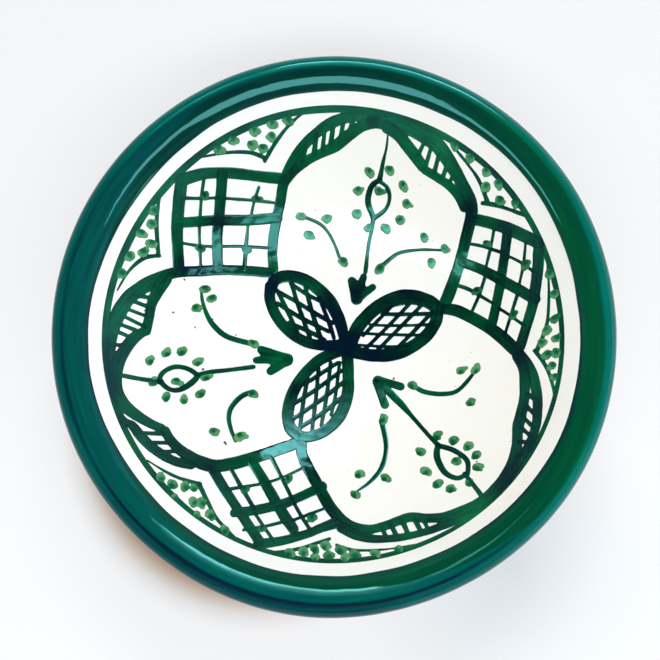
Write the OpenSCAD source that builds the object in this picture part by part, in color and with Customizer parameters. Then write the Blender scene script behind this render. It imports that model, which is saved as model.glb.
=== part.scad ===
// Hand painted ceramic plate: a deep, footed dish in red clay with a white glaze inside, a green glaze over
// its lip and green brushwork of three lobes, three almonds and three check panels.
// Millimetres, +Z up, origin on the table at the middle of the foot ring.

/* [Dish] */
// Diameter over the lip
rim_d = 200; // [170:1:240]
// Height from the table to the crest of the lip
height = 56; // [50:1:68]
// Height of the bottom of the well above the table
floor_h = 11; // [9:0.5:14]
// Thickness of the wall
wall = 6; // [4.5:0.5:8]

/* [Lip] */
// Radius of the round outer edge of the lip
lip_r = 4.3; // [3.4:0.1:5.2]
// Radius of the slope that rolls from the crest into the well
roll_r = 11.2; // [10:0.1:14]
// Width of that slope, from the crest to the white glaze
roll_w = 8.7; // [7:0.1:9.5]
// Radius of the hollow under the lip
throat_r = 5; // [3:0.5:8]

/* [Foot] */
// Outside diameter of the foot ring
foot_d = 84; // [60:1:110]
// Width of the foot ring
foot_w = 6; // [4:0.5:10]
// Depth of the recess inside the foot ring
recess = 3.5; // [2:0.5:3.5]

/* [Glaze and paint] */
// Thickness of the glazes
glaze_t = 0.4; // [0.3:0.05:0.6]
// Thickness of the brushwork
paint_t = 0.15; // [0.1:0.05:0.25]
// Outer radius of the painted ring line
ring_r = 83; // [60:0.5:84]
// Width of the ring line
ring_w = 1.6; // [1:0.1:3]
// Width of a stroke of the broad brush
broad_w = 3.7; // [2.5:0.1:4.5]
// Width of a line of the fine brush
fine_w = 1; // [0.6:0.1:1.5]
// Length of a dab
dab_l = 4; // [2.5:0.1:5]
// Width of a dab
dab_w = 3.3; // [2:0.1:4]

/* [Hidden] */
$fn = 180;

clay_red = "#b5654a";
glaze_white = "#f7f5ee";
glaze_green = "#06604a";
paint_dark = "#04452f";
paint_leaf = "#4f9a58";

// Section of the dish, at radius x and height y.
crest_x = rim_d / 2 - lip_r;
lip_z = height - lip_r;
roll_z = height - roll_r;
join_x = crest_x - roll_w;
join_z = roll_z + sqrt(roll_r * roll_r - roll_w * roll_w);
well_rise = join_z - floor_h;
well_r = (join_x * join_x + well_rise * well_rise) / (2 * well_rise);
well_z = floor_h + well_r;
outer_r = well_r + wall;
foot_r = foot_d / 2;

// Where two circles meet, on the side away from the axis.
function circles_meet(a, ra, b, rb) =
    let (d = norm(b - a), along = (d * d + ra * ra - rb * rb) / (2 * d), u = (b - a) / d,
        off = sqrt(ra * ra - along * along))
    a + u * along + [-u[1], u[0]] * -off;
function arc(centre, r, from, to, steps) =
    [for (i = [0:steps]) let (a = from + (to - from) * i / steps) centre + r * [cos(a), sin(a)]];
function heading(from, to) = atan2(to[1] - from[1], to[0] - from[0]);

lip_c = [crest_x, lip_z];
well_c = [0, well_z];
throat_c = circles_meet(well_c, outer_r + throat_r, lip_c, lip_r - glaze_t + throat_r);
wall_low = -90 + asin(foot_r / outer_r);
wall_high = heading(well_c, throat_c);
lip_low = heading(lip_c, throat_c);
roll_end = 90 + asin(roll_w / roll_r);
// The green glaze stops this far round the lip's underside, measured from the throat.
glaze_stop = 25;
glaze_low = lip_low + glaze_stop;
// The foot ring is this much narrower at the table, and the section is cut off this far over the lip.
foot_bevel = 0.5;
spare = 5;

module clay_section() {
    difference() {
        polygon(concat(
            [[0, recess], [foot_r - foot_w, recess], [foot_r - foot_w + foot_bevel, 0], [foot_r, 0]],
            arc(well_c, outer_r, wall_low, wall_high, 20),
            arc(throat_c, throat_r, wall_high + 180, lip_low + 180, 6),
            arc(lip_c, lip_r - glaze_t, lip_low, 90, 16),
            arc([crest_x, roll_z], roll_r - glaze_t, 90, 90 + asin(roll_w / (roll_r - glaze_t)), 8),
            [[join_x, height + spare], [0, height + spare]]));
        translate(well_c) circle(r = well_r + glaze_t);
    }
}

module clay_body() {
    color(clay_red) rotate_extrude() clay_section();
}

module white_glaze() {
    color(glaze_white) rotate_extrude() intersection() {
        square([join_x, height]);
        difference() {
            translate(well_c) circle(r = well_r + glaze_t);
            translate(well_c) circle(r = well_r);
        }
    }
}

module rim_glaze() {
    inner_end = 90 + asin(roll_w / (roll_r - glaze_t));
    color(glaze_green) rotate_extrude() polygon(concat(
        arc(lip_c, lip_r, glaze_low, 90, 14),
        arc([crest_x, roll_z], roll_r, 90, roll_end, 8),
        arc([crest_x, roll_z], roll_r - glaze_t, inner_end, 90, 8),
        arc(lip_c, lip_r - glaze_t, 90, glaze_low, 14)));
}

module ring_line() {
    color(paint_dark) rotate_extrude() intersection() {
        translate([ring_r - ring_w, 0]) square([ring_w, height]);
        difference() {
            translate(well_c) circle(r = well_r);
            translate(well_c) circle(r = well_r - paint_t);
        }
    }
}

// Brushwork. Points are seen from above, in hundredths of the ring line's radius, and a third number is the
// stroke's width there as a share of its brush.
unit = ring_r / 100;
curve_steps = 3;
function cubic(a, b, c, d, t) =
    0.5 * (2 * b + (c - a) * t + (2 * a - 5 * b + 4 * c - d) * t * t + (3 * b - a - 3 * c + d) * t * t * t);
function full(p) = [p[0] * unit, p[1] * unit, is_undef(p[2]) ? 1 : p[2]];
function curve(points) =
    let (p = [for (q = points) full(q)], last = len(p) - 1)
    concat([for (i = [0:last - 1]) for (j = [0:curve_steps - 1])
        cubic(p[max(i - 1, 0)], p[i], p[i + 1], p[min(i + 2, last)], j / curve_steps)], [p[last]]);
function flat(p) = [p[0], p[1]];
function unit_along(c, i) =
    let (d = flat(c[min(i + 1, len(c) - 1)]) - flat(c[max(i - 1, 0)])) d / norm(d);
function edge(c, w, side) = [for (i = [0:len(c) - 1])
    let (t = unit_along(c, i)) flat(c[i]) + side * c[i][2] * w / 2 * [-t[1], t[0]]];
function reversed(list) = [for (i = [len(list) - 1:-1:0]) list[i]];

module stroke(points, w) {
    c = curve(points);
    last = len(c) - 1;
    start = flat(c[0]) - unit_along(c, 0) * c[0][2] * w / 2;
    end = flat(c[last]) + unit_along(c, last) * c[last][2] * w / 2;
    polygon(concat([start], edge(c, w, 1), [end], reversed(edge(c, w, -1))));
}
module strokes(list, w) {
    for (points = list) stroke(points, w);
}
// A dab is [x, y, direction it was pulled in, share of its full size].
module dabs(list) {
    for (d = list) {
        share = is_undef(d[3]) ? 1 : d[3];
        translate([d[0] * unit, d[1] * unit]) rotate(d[2])
            polygon([for (a = [18:36:342]) share / 2 * [dab_l * cos(a), dab_w * sin(a)]]);
    }
}

lobe_top_broad = [
    [[-29.3, 33], [-29.7, 40], [-29, 48], [-27.2, 56], [-25.4, 63], [-23.8, 70], [-20.5, 77.5, 0.9],
        [-15.5, 84, 0.9], [-9, 89.5, 0.85], [-1, 94, 0.9], [8, 96, 0.8], [17, 95.8, 0.8], [27, 93.5]],
    [[-24, 70.5], [-19, 75.5, 0.8], [-12, 80.3, 0.8], [-5, 83.3, 0.8], [1, 85.8], [7, 89.5],
        [13, 92.6, 0.9], [19, 93.8, 0.9]],
    [[17, 94], [28, 92.5], [35, 90, 1.1], [43.5, 85.2, 1.2], [48.2, 81.2, 1.2], [53, 74.8, 1.1],
        [58, 66.8], [62, 59, 1.1], [62.5, 53, 1.1], [61, 46, 1.1], [59.5, 39, 1.1], [57.3, 31, 1.1],
        [54.2, 22, 1.2], [51.5, 15.5, 1.2]],
    [[24, 91.8], [29, 88.7], [33, 84.5], [37, 80], [40.3, 75.8, 0.9]],
    [[41.5, 74.3, 0.7], [47, 70.8, 0.7], [52, 67.2, 0.7], [56.5, 62.5, 0.8], [59.8, 57.5]]];
lobe_top_fine = [
    [[-14.6, 80, 2], [-12.6, 86.5, 1.6]], [[-9.2, 82.5, 2], [-7.8, 90, 1.6]],
    [[-5.2, 84.5, 1.6], [-4, 91.5, 1.3]], [[-1.5, 86.5, 1.8], [0, 93, 1.6]],
    [[3, 88, 1.8], [4.6, 94.5, 1.5]], [[7.5, 91.5, 1.7], [9.3, 95.5, 1.5]],
    [[38.5, 80.5, 1.6], [40.8, 84.5, 1.3]], [[42, 76, 1.6], [43.7, 82, 1.3]],
    [[45.8, 73, 1.7], [47.3, 79, 1.4]], [[49.6, 70.5, 1.6], [51.5, 76, 1.3]],
    [[52.8, 68, 1.3], [54, 72, 1.1]]];
lobe_left_broad = [
    [[-31, 31.3], [-38, 31.6], [-46, 31.6], [-54, 31], [-62, 29.8], [-69, 28.8], [-75, 27],
        [-82, 22.7, 1.2], [-87.5, 18, 1.2], [-91, 14, 1.15], [-93.5, 9.2, 1.15], [-95.5, 3.5, 1.1],
        [-97, -4], [-97.5, -12], [-97.2, -20], [-96, -28], [-93.5, -35, 0.8], [-90, -40, 0.6],
        [-86.5, -42.3, 0.7], [-83.3, -46.2, 0.8], [-79, -50.8, 0.8], [-74.3, -54.5, 0.8],
        [-68.5, -57.7, 0.8], [-62, -59.3, 0.8]],
    [[-77, 24.5, 1.2], [-80.3, 18], [-82.3, 12.5, 0.85], [-83, 7.5, 0.8], [-83.8, 2.5, 0.8],
        [-84.3, 0, 0.8]],
    [[-84.8, 0.2, 0.8], [-88.3, -3], [-91.2, -8], [-93.6, -14.5], [-94.3, -21], [-93.3, -28],
        [-89.5, -34.3], [-84.5, -38.5, 0.9], [-79.5, -41.5, 0.8], [-75.8, -43.2, 0.8]],
    [[-74, -44.3, 0.8], [-71.5, -48.2, 0.8], [-68, -52, 0.9], [-63.5, -55.3], [-58, -58.3, 1.2],
        [-52, -59.7, 1.2], [-45, -58.7, 1.2], [-38, -56.7, 1.2], [-31, -54.3, 1.2], [-24, -51.8, 1.2],
        [-17, -49.3, 1.2]]];
lobe_left_fine = [
    [[-88.8, 15.5, 1.5], [-83, 15.4, 1.4]], [[-89.5, 13, 1.3], [-83.5, 11.2, 1.4]],
    [[-91.5, 9.2, 1.2], [-83.5, 6.7, 1.2]], [[-93, 6, 1.2], [-84.5, 2, 1.3]],
    [[-94.5, 2.3, 1.2], [-88.5, 0.3, 1.4]], [[-95.5, -1, 1.2], [-91, -2.8, 1.3]],
    [[-96.5, -7.5, 1.2], [-92.5, -7, 1.4]],
    [[-83.5, -45.6, 1.2], [-74.5, -45.8, 1.5]], [[-80, -49.7, 1.2], [-71.5, -49.7, 1.4]],
    [[-76, -53.6, 1.2], [-68, -53.4, 1.3]]];
lobe_right_broad = [
    [[50.5, 13.5, 1.1], [56, 12.3, 1.15], [61, 9.7, 1.15], [66, 6.6, 1.15], [71, 2.8, 1.15],
        [75.5, -1.5, 1.15], [79.5, -6.2, 1.15], [82.8, -10.5], [85.5, -15, 0.9], [87.3, -20, 0.85],
        [88.2, -27, 0.8], [88.1, -34, 0.75], [87, -41, 0.7], [84.7, -47.5, 0.7], [81.5, -53.5, 0.7],
        [77.5, -59.8, 0.9]],
    [[82, -11], [84, -17, 0.9], [84, -24, 0.85], [83.2, -31, 0.8], [81.5, -37.5, 0.9], [80, -43, 0.9],
        [79, -50, 0.8], [77, -57, 0.9], [73.5, -64, 1.1], [68.3, -70, 1.1], [62, -74.8], [55, -78, 0.9],
        [48, -80.4, 0.8], [41, -81.2, 0.8], [34, -81, 0.8], [28, -82.8, 0.75], [22, -85, 0.75],
        [16, -86.3, 0.8], [10, -86], [5.5, -84, 1.1], [2, -81, 1.1], [-1.5, -77, 1.1], [-5, -71.5, 1.1],
        [-8.5, -65.5, 1.1], [-11.8, -60, 1.1], [-14.5, -54.5, 1.1], [-15, -50, 1.1]],
    [[4, -85.5], [10, -88.3, 0.9], [16, -89.8, 0.7], [23, -89.8, 0.6], [30, -88.9, 0.6],
        [37, -87.3, 0.55], [44, -85, 0.6], [51, -82, 0.7], [58, -78.5, 0.8]]];
lobe_right_fine = [
    [[85, -28, 1.3], [87.5, -31, 1.2]], [[83.5, -32.5, 1.4], [87, -37.5, 1.3]],
    [[81.8, -37, 1.3], [86, -43, 1.2]], [[80.5, -41.5, 1.4], [84.5, -46.5, 1.2]],
    [[80, -48.5, 1.3], [83.3, -49, 1.3]], [[78.5, -55, 1.2], [80.5, -54, 1.2]],
    [[21.5, -85.5, 1.7], [23, -89, 1.5]], [[25.2, -84, 1.8], [27.5, -88.5, 1.6]],
    [[30, -82, 1.8], [32.5, -88, 1.6]], [[35.5, -82, 1.7], [38, -87, 1.5]],
    [[39, -82, 1.4], [41, -86, 1.2]]];

almond_left_broad = [
    [[-30, 23.5], [-28.7, 28, 1.2], [-23, 30, 1.2], [-16, 29, 1.25], [-9, 25, 1.3], [-3, 19, 1.35],
        [1, 12, 1.3], [3.4, 5, 1.2], [4.5, -1]],
    [[-30.8, 25, 1.1], [-31, 19, 1.1], [-29, 13, 1.1], [-25.5, 7.5, 1.1], [-21, 3, 1.1], [-15, -0.7, 1.1],
        [-8, -2.6, 1.1], [0, -2.8, 1.2], [5, -2, 1.2]]];
almond_left_fine = [
    [[-21, 26.5, 1.5], [-14, 21.9, 1.6], [-6, 18, 1.5]], [[-28, 23, 1.6], [-19, 18.3, 1.6],
        [-7, 11.2, 1.7], [-1, 8, 1.5]], [[-27.5, 17, 1.6], [-17, 10.8, 1.7], [-3, 4, 1.6]],
    [[-22, 8, 1.6], [-11, 3.2, 1.7], [-5, 0, 1.6]],
    [[-27.5, 23, 1.5], [-22.5, 13, 1.7], [-18, 3.5, 1.5]], [[-21.3, 28, 1.5], [-17, 14.5, 1.7],
        [-12, 1, 1.6]], [[-14.5, 26, 1.5], [-10.5, 11.5, 1.8], [-6, -1, 1.6]],
    [[-7.5, 20, 1.5], [-3, 8.5, 1.7], [-0.5, 1, 1.5]]];
almond_right_broad = [
    [[7.5, -2, 1.3], [11, 6, 1.4], [17, 12.8, 1.4], [24, 17.3, 1.5], [32, 19.6, 1.6], [39, 19, 1.5],
        [45, 16.5, 1.4], [49, 12.8, 1.2]],
    [[48.3, 13, 1.2], [47.3, 7, 1.2], [43.5, 1.5, 1.3], [37.5, -3.3, 1.3], [30, -6.8, 1.35],
        [22, -7.8, 1.35], [14, -7.1, 1.3], [7, -5.5, 1.3]]];
almond_right_fine = [
    [[23, 12, 1.5], [35, 11.5, 1.5], [46, 11.3, 1.5]], [[17, 7, 1.1], [30, 6.3, 1.1], [45, 6.2, 1.1]],
    [[13, 3, 1.1], [27, 2.1, 1.1], [43, 1.3, 1.1]], [[10, -2.5, 1.1], [25, -3.6, 1.1], [35, -3.4, 1.1]],
    [[13.5, 2, 1.4], [19.5, 8, 1.4], [27, 15.5, 1.4]], [[14.5, -4.5, 1.4], [24, 4.8, 1.5],
        [35, 16, 1.4]], [[20.5, -5, 1.4], [30, 4.5, 1.5], [41.5, 16, 1.4]],
    [[28, -6, 1.4], [38, 4, 1.5], [46, 12, 1.4]]];
almond_low_broad = [
    [[2, -5.5, 1.2], [-6, -9, 1.2], [-12, -14, 1.2], [-17, -20.5, 1.2], [-20.2, -27.5, 1.2],
        [-21.7, -35, 1.2], [-20.5, -42, 1.2], [-16, -46.2, 1.2]],
    [[6, -6, 1.2], [6.2, -13, 1.2], [6.4, -20, 1.2], [6, -27, 1.25], [3.8, -34, 1.25], [0, -40, 1.2],
        [-6, -44.7, 1.1], [-12, -46.5, 1.1], [-17, -46, 1.1]]];
almond_low_fine = [
    [[-14.5, -21.7, 1.5], [-3, -14, 1.6], [1.5, -11, 1.5]], [[-19, -30.8, 1.6], [-8.5, -23.8, 1.7],
        [3, -15, 1.5]], [[-19, -38, 1.6], [-6.2, -28.8, 1.7], [4, -20.5, 1.5]],
    [[-17, -43, 1.5], [-5, -34.8, 1.7], [3, -28, 1.5]],
    [[-12.8, -19, 1.5], [-14.4, -28, 1.6], [-16, -43, 1.5]], [[-7.7, -14, 1.4], [-8.7, -27, 1.5],
        [-10.3, -44, 1.4]], [[-2, -11, 1.4], [-3.6, -26, 1.5], [-6, -41, 1.4]],
    [[2.3, -11, 1.3], [0.4, -27, 1.3], [-1.5, -36, 1.3]]];

check_left_broad = [
    [[-68.5, 67], [-60, 70.7, 0.9], [-52, 72.4, 0.9], [-44, 73, 0.95], [-36, 72.8, 0.95], [-24, 72.5]],
    [[-67.8, 67.5], [-69.5, 60, 1.05], [-70.7, 52, 1.05], [-71.4, 45, 1.05], [-71.4, 38], [-71.2, 29]],
    [[-50.8, 72], [-52.5, 60], [-54, 50], [-54.6, 43], [-54.5, 32]],
    [[-70, 49.8, 0.9], [-55, 52.8, 0.95], [-40, 54.3], [-27, 56]]];
check_left_fine = [
    [[-58.5, 70], [-60.3, 62], [-61.7, 52]], [[-68, 60.2], [-61, 61.1], [-53, 62.4]],
    [[-35, 68.3], [-37.5, 62], [-39.3, 55]], [[-51, 62.5], [-38, 62.8], [-27, 62.4]],
    [[-62, 50], [-62.2, 42], [-62, 32]], [[-70, 41.3], [-63, 41], [-55, 41.3]],
    [[-40.5, 53], [-41.7, 43, 1.4], [-42.8, 32, 1.5]], [[-53, 41.7], [-44, 42.5], [-30, 42.6]]];
check_left_dabs = [[-58.8, 62.5, 20, 0.9], [-36.3, 63.5, -10, 0.95], [-62.3, 40, 15, 0.95], [-41.5, 41, 0]];
check_right_broad = [
    [[63, 52], [68, 50.2], [74, 47.6], [80, 44.3], [90, 37.5]],
    [[90, 37.5, 0.9], [90, 28, 0.9], [89, 17, 0.9], [87.8, 10, 0.85], [85.3, 1, 0.85], [82.8, -7, 0.9]],
    [[77.7, 44, 0.85], [77, 35, 0.85], [75.3, 22, 0.85], [73.5, 12, 0.85], [71.5, 3, 0.9]],
    [[59, 33.8, 0.9], [65, 31, 0.9], [70, 28, 0.9], [77, 23, 0.95], [83, 18.5, 0.95], [89, 13.5, 0.9]]];
check_right_fine = [
    [[72.4, 47], [71.2, 39], [69.3, 30]], [[61, 41.8], [67, 40], [76, 35.8]],
    [[85, 40, 0.8], [84.5, 30, 0.8], [82.8, 20, 0.8]], [[78, 34.2, 0.8], [83.5, 30.4, 0.8], [88.5, 25.5, 0.8]],
    [[69.2, 26.5, 1.2], [66.5, 18], [63, 10]], [[57, 23.6, 1.2], [63, 20.8, 1.2], [72.5, 13.8]],
    [[82.2, 16.5], [80, 9], [77, -1]], [[75, 11.3], [79, 8], [85, 2.4]]];
check_right_dabs = [[69.5, 40.7, -20, 0.8], [85, 29, 80], [65.2, 20.3, 30, 0.9], [80.5, 7.5, 75, 0.9]];
check_low_broad = [
    [[-53.5, -60.5, 0.9], [-49, -67.3, 0.85], [-44, -74, 0.8], [-39, -80.5, 0.8], [-30.5, -91, 0.85]],
    [[-31, -92, 0.85], [-24, -91.3, 0.75], [-17, -90, 0.75], [-10, -88, 0.75], [-5, -86, 0.8], [1, -84]],
    [[-36.5, -58, 0.9], [-32, -64.5, 0.9], [-28.5, -70, 0.95], [-21.3, -80.5], [-16.5, -86.5, 0.9]],
    [[-42, -79.5, 0.8], [-35, -78.8, 0.85], [-28, -77.5, 0.9], [-21, -75.8, 0.9], [-15, -73.3, 0.85],
        [-5, -68.8]]];
check_low_fine = [
    [[-45.5, -61, 1.3], [-41, -68, 1.3], [-34, -78, 1.3]], [[-47.5, -70], [-40, -68.9], [-29, -67.1]],
    [[-28.5, -55.5, 1.3], [-24.5, -62.5, 1.3], [-18, -74, 1.3]], [[-29.5, -67], [-22, -64.5], [-13, -60]],
    [[-33.5, -80], [-29.5, -85], [-24.5, -91]], [[-37.5, -86.4], [-28, -85], [-19.5, -83]],
    [[-17, -76, 1.2], [-13, -82, 1.2], [-9, -87.2, 1.2]], [[-17.5, -83], [-11, -80.7], [-2.5, -77.6]]];
check_low_dabs = [[-38.5, -70, 40, 0.8], [-20.3, -65.5, 50, 0.95], [-30, -86, 10, 0.8], [-9, -82.3, 0, 0.95]];

corner_top_left_fine = [
    [[-60, 77, 0.5], [-50, 80, 0.8], [-43, 81.3], [-37, 81.5, 1.2], [-31.3, 80, 1.4]],
    [[-31.8, 79, 1.3], [-27, 85.5, 1.2], [-22, 91], [-17, 95, 0.8], [-12, 98, 0.7]]];
corner_top_left_dabs = [[-51.5, 81, 20], [-45.5, 85.3, 25], [-37, 84.3, 10], [-35.5, 89.3, 15],
    [-27.5, 92.6, 0], [-28.3, 88, 0], [-32, 83.6, 20], [-20.5, 94.3, 10]];
corner_left_fine = [
    [[-77.3, 60], [-78.8, 52, 1.1], [-79.5, 45, 1.2], [-79.3, 34.5, 1.4]],
    [[-79, 34.5, 1.3], [-84, 33, 1.2], [-88, 29.5], [-91.5, 24.5, 0.7], [-95, 16.8, 0.4]]];
corner_left_dabs = [[-80.5, 53, 60], [-81.5, 47.2, 40], [-85.5, 42.7, 30], [-81.8, 39.2, 30],
    [-85, 34.8, 50], [-90.3, 32, 50], [-93.5, 24, 60]];
corner_top_right_fine = [
    [[50, 85.5, 0.4], [54, 80.8, 0.6], [60, 73.8, 0.7], [65, 67, 0.9], [69, 58, 1.4]],
    [[67, 57.8, 1.2], [71, 56.6, 1.3], [76, 54.3], [82, 51], [88, 47.4]]];
corner_top_right_dabs = [[54, 81.7, -40], [60.8, 76.2, -45], [67.8, 69.7, -50], [67.8, 63.8, -60],
    [73.2, 64, -50], [74.2, 57.5, -60], [80.3, 55.5, -60]];
corner_right_fine = [
    [[93.2, 29, 0.4], [94, 20, 0.6], [94, 10, 0.8], [93, 1], [89.3, -9, 1.4]],
    [[88.5, -9, 1.3], [91.5, -14.5, 1.2], [93.3, -20], [94.5, -28, 0.9], [94.3, -37.5, 0.7]]];
corner_right_dabs = [[94.3, 23.7, -70], [96.3, 14.8, 70, 0.9], [96.3, 4.2, 75, 0.9], [93.2, -0.8, 80],
    [91.3, -6, 60], [96.2, -4.5, 75, 0.9], [92.7, -11.3, 60], [96.4, -11, 75, 0.9], [94.2, -16.5, 65, 0.9],
    [94.8, -21.2, 60, 0.8]];
corner_low_fine = [
    [[-27, -95.5, 0.8], [-18, -94.7, 0.9], [-12, -93.5], [-6, -91.7], [-1, -90.2]],
    [[2, -92.5, 0.8], [7, -94, 0.8], [14, -94.4, 0.7], [25, -93.5, 0.5], [38, -91, 0.4]]];
corner_low_dabs = [[-17.5, -95.7, -25], [-12, -95, -15], [-7, -97.5, -10, 0.9], [-7.5, -93.9, -20, 0.9],
    [-2.8, -92.6, -20], [-1.2, -96.5, -10], [3.5, -94.5, -20], [5.8, -97.4, 5, 0.9], [9.8, -95.8, -5],
    [18.3, -95.4, 0, 0.9], [28, -93.6, 20, 0.8]];
corner_low_left_fine = [
    [[-79, -57.3, 0.4], [-72, -61.8, 0.7], [-66, -64.8], [-57.5, -67.5, 1.4]],
    [[-58, -67.3, 1.4], [-54, -74, 1.2], [-49.5, -81, 1.1], [-45, -85.5, 0.9], [-41, -89, 0.7]]];
corner_low_left_dabs = [[-73.2, -64.3, -50], [-68.3, -67.3, -50], [-63.3, -68.2, -60], [-59.8, -69, -50, 0.8],
    [-66.5, -73, -50, 0.9], [-59.3, -74.7, -50], [-56, -75, -50], [-57, -80, -40, 0.8], [-51.8, -80, -45],
    [-45.2, -86.2, -45]];

stem_top_fine = [
    [[24.7, 90, 0.5], [24, 84, 0.8], [22.8, 79.5, 1.2], [21.2, 72.5, 2]],
    [[21.3, 72, 1.6], [17.8, 70, 2], [16, 66, 2.2], [16, 62, 2.2], [18.5, 56, 2]],
    [[21, 71.5, 1.2], [24.8, 68.5, 1.3], [25.8, 64, 1.4], [23.8, 59.5, 1.4], [18.5, 56, 1.6]],
    [[18.3, 56, 1.8], [17.3, 50, 1.4], [16, 44, 1.3], [14.6, 32, 1.6]]];
stem_top_head = [[[8, 28, 0.8], [9.8, 19, 0.7]], [[13.7, 29.7, 0.65], [10.6, 19.5, 0.7]],
    [[18, 24.8, 0.65], [11.2, 19.8, 0.7]]];
stem_left_fine = [
    [[-93, -20.4, 1.5], [-85, -21.7, 1.6], [-77.5, -22.4, 2]],
    [[-78.3, -22.3, 1.6], [-77, -18.3, 1.7], [-72.5, -15.3, 1.7], [-67, -15.8, 1.7], [-62.5, -18.6, 1.8]],
    [[-78, -22, 1.6], [-74, -25.6, 1.7], [-69.5, -25.6, 1.8], [-65, -22.2, 2.2], [-62.3, -18.6, 1.8]],
    [[-62.5, -18.5, 1.8], [-57, -16.8, 1.7], [-50, -15.7, 1.5], [-38.3, -13.7, 1.6]]];
stem_left_head = [[[-34.8, -5.4, 0.8], [-22.3, -8.9, 0.7]], [[-37, -10.5, 0.65], [-22.5, -9.9, 0.7]],
    [[-30.2, -15.5, 0.8], [-22.6, -10.8, 0.7]]];
stem_right_fine = [
    [[64.5, -74, 1.6], [62.5, -70, 1.6], [57.5, -62.5, 1.3]],
    [[47, -50, 2], [46.3, -55.5, 2.2], [49.3, -62, 2], [54.5, -64.4, 1.6], [58.8, -62, 1.3]],
    [[47, -50.3, 1.6], [53.5, -52.3, 1.8], [58.8, -56.7, 1.8], [58.7, -62.4, 1.4]],
    [[47.3, -50.3, 1.8], [43, -45.5, 1.5], [36, -37, 1.6], [31, -31, 2.6], [22, -21.5, 3]]];
stem_right_head = [[[31, -22.8, 0.75], [20.5, -19.3, 0.7]], [[23.6, -31.3, 0.8], [20, -20.8, 0.7]]];
eye_centres = [[21, 67.3, -30], [-71.2, -22, 10], [54.3, -57.3, 15]];

sprigs_top_fine = [
    [[-14, 56.8, 1.2], [-7, 54, 1.2], [-3, 50, 1.1], [0, 44.5, 1.1], [2.5, 38, 1.1]],
    [[21.5, 33.5, 1.8], [26, 37.5, 1.5], [31, 40.3, 1.3], [40, 41], [50, 40, 0.9]]];
sprigs_top_dabs = [[-16, 57, 0], [-3.8, 56.2, -10, 1.1], [-12.3, 49, -10, 1.15], [4, 37, -30, 1.15],
    [51.3, 40.5, -50], [42, 46.3, -50], [45.5, 34.8, -60, 1.1], [21.3, 33, 40, 1.2]];
sprigs_left_fine = [
    [[-62, 21, 0.8], [-61.3, 15.5, 1.2], [-59, 9, 1.7], [-55.5, 4, 2], [-50, 0, 2.1], [-39.5, -2.6, 2]],
    [[-38, -25.6, 2], [-43, -27.7, 2], [-47.3, -33, 1.8], [-48.2, -38, 1.6], [-46.8, -43.5, 1.4],
        [-44.5, -48.5, 1.2]]];
sprigs_left_dabs = [[-60.5, 21.8, 20], [-57.5, 17.5, 15], [-64, 12.5, 10, 1.05], [-38.5, -2.7, -20, 1.1],
    [-38, -26.6, 10], [-54, -44.5, -10], [-42.5, -46.5, 15, 1.2]];
sprigs_right_fine = [
    [[37.5, -23, 1.8], [42, -25.5, 1.8], [50, -26.7, 1.6], [57, -25, 1.5], [64.5, -16.5, 1]],
    [[22, -39, 2], [23.3, -45, 1.8], [23.9, -52, 1.7], [21.8, -60, 1.6], [16.5, -66.5, 1.2], [10, -71, 0.5]]];
sprigs_right_dabs = [[36.5, -22.3, 10, 1.1], [58.5, -16, 10, 1.05], [64.5, -16, 50, 1.1],
    [61.7, -31, 15, 1.05], [23, -38.3, 60, 1.1], [11.7, -63.2, 0, 1.05], [23.3, -64.7, -15],
    [9.8, -72, -10]];

eye_dots_top_dabs = [[16.3, 75.2, -20, 1.1], [25.5, 75.6, -25, 1.05], [11, 68, -20, 1.05],
    [10.5, 58.3, -20, 1.1], [16.2, 51.8, -20, 1.1], [24, 51.5, -25, 1.15], [30.7, 54.7, -40, 1.1],
    [33.7, 61.3, -45, 1.05], [32, 68.8, -35, 1.1]];
eye_dots_left_dabs = [[-82.3, -13, 80], [-76, -9, 70], [-70, -8, 60, 1.05], [-63, -12.5, 10, 1.05],
    [-59, -19.3, 15, 1.1], [-61.3, -27.5, 60], [-67.8, -30.2, 70, 0.95], [-74.7, -29.3, 60, 0.95],
    [-80.3, -22.5, 80]];
eye_dots_right_dabs = [[46.7, -46, 60, 1.05], [53.5, -48, 30, 1.05], [59.7, -50.5, 35, 1.05],
    [62.8, -54.5, 25], [63, -59.7, 20], [58.8, -66, 30, 0.9], [51, -68.7, 20, 0.95], [46, -67, 10],
    [41, -61.5, -15, 1.05], [39, -53, -35, 1.05]];

module lobe_marks(broad, fine) {
    strokes(broad, broad_w);
    strokes(fine, fine_w);
}
module lobe_top_marks() {
    lobe_marks(lobe_top_broad, lobe_top_fine);
}
module lobe_left_marks() {
    lobe_marks(lobe_left_broad, lobe_left_fine);
}
module lobe_right_marks() {
    lobe_marks(lobe_right_broad, lobe_right_fine);
}
module all_lobe_marks() {
    lobe_top_marks();
    lobe_left_marks();
    lobe_right_marks();
}
module stem_marks(fine, head, eye) {
    strokes(fine, fine_w);
    strokes(head, broad_w);
    dabs([eye]);
}
module check_marks(broad, fine, spots) {
    strokes(broad, broad_w);
    strokes(fine, fine_w);
    dabs(spots);
}

// The first child is laid on the glaze as a thin layer of colour inside the ring line, and the others were
// painted before it, so that it stops at them.
module painted(tint) {
    color(tint) intersection() {
        linear_extrude(height = height) difference() {
            intersection() {
                union() children(0);
                circle(r = ring_r - ring_w);
            }
            if ($children > 1) children([1:$children - 1]);
        }
        translate([0, 0, well_z]) difference() {
            sphere(r = well_r);
            sphere(r = well_r - paint_t);
        }
    }
}

module lobe_top() {
    painted(paint_dark) lobe_top_marks();
}
module lobe_left() {
    painted(paint_dark) {
        lobe_left_marks();
        lobe_top_marks();
    }
}
module lobe_right() {
    painted(paint_dark) {
        lobe_right_marks();
        lobe_top_marks();
        lobe_left_marks();
    }
}

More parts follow.
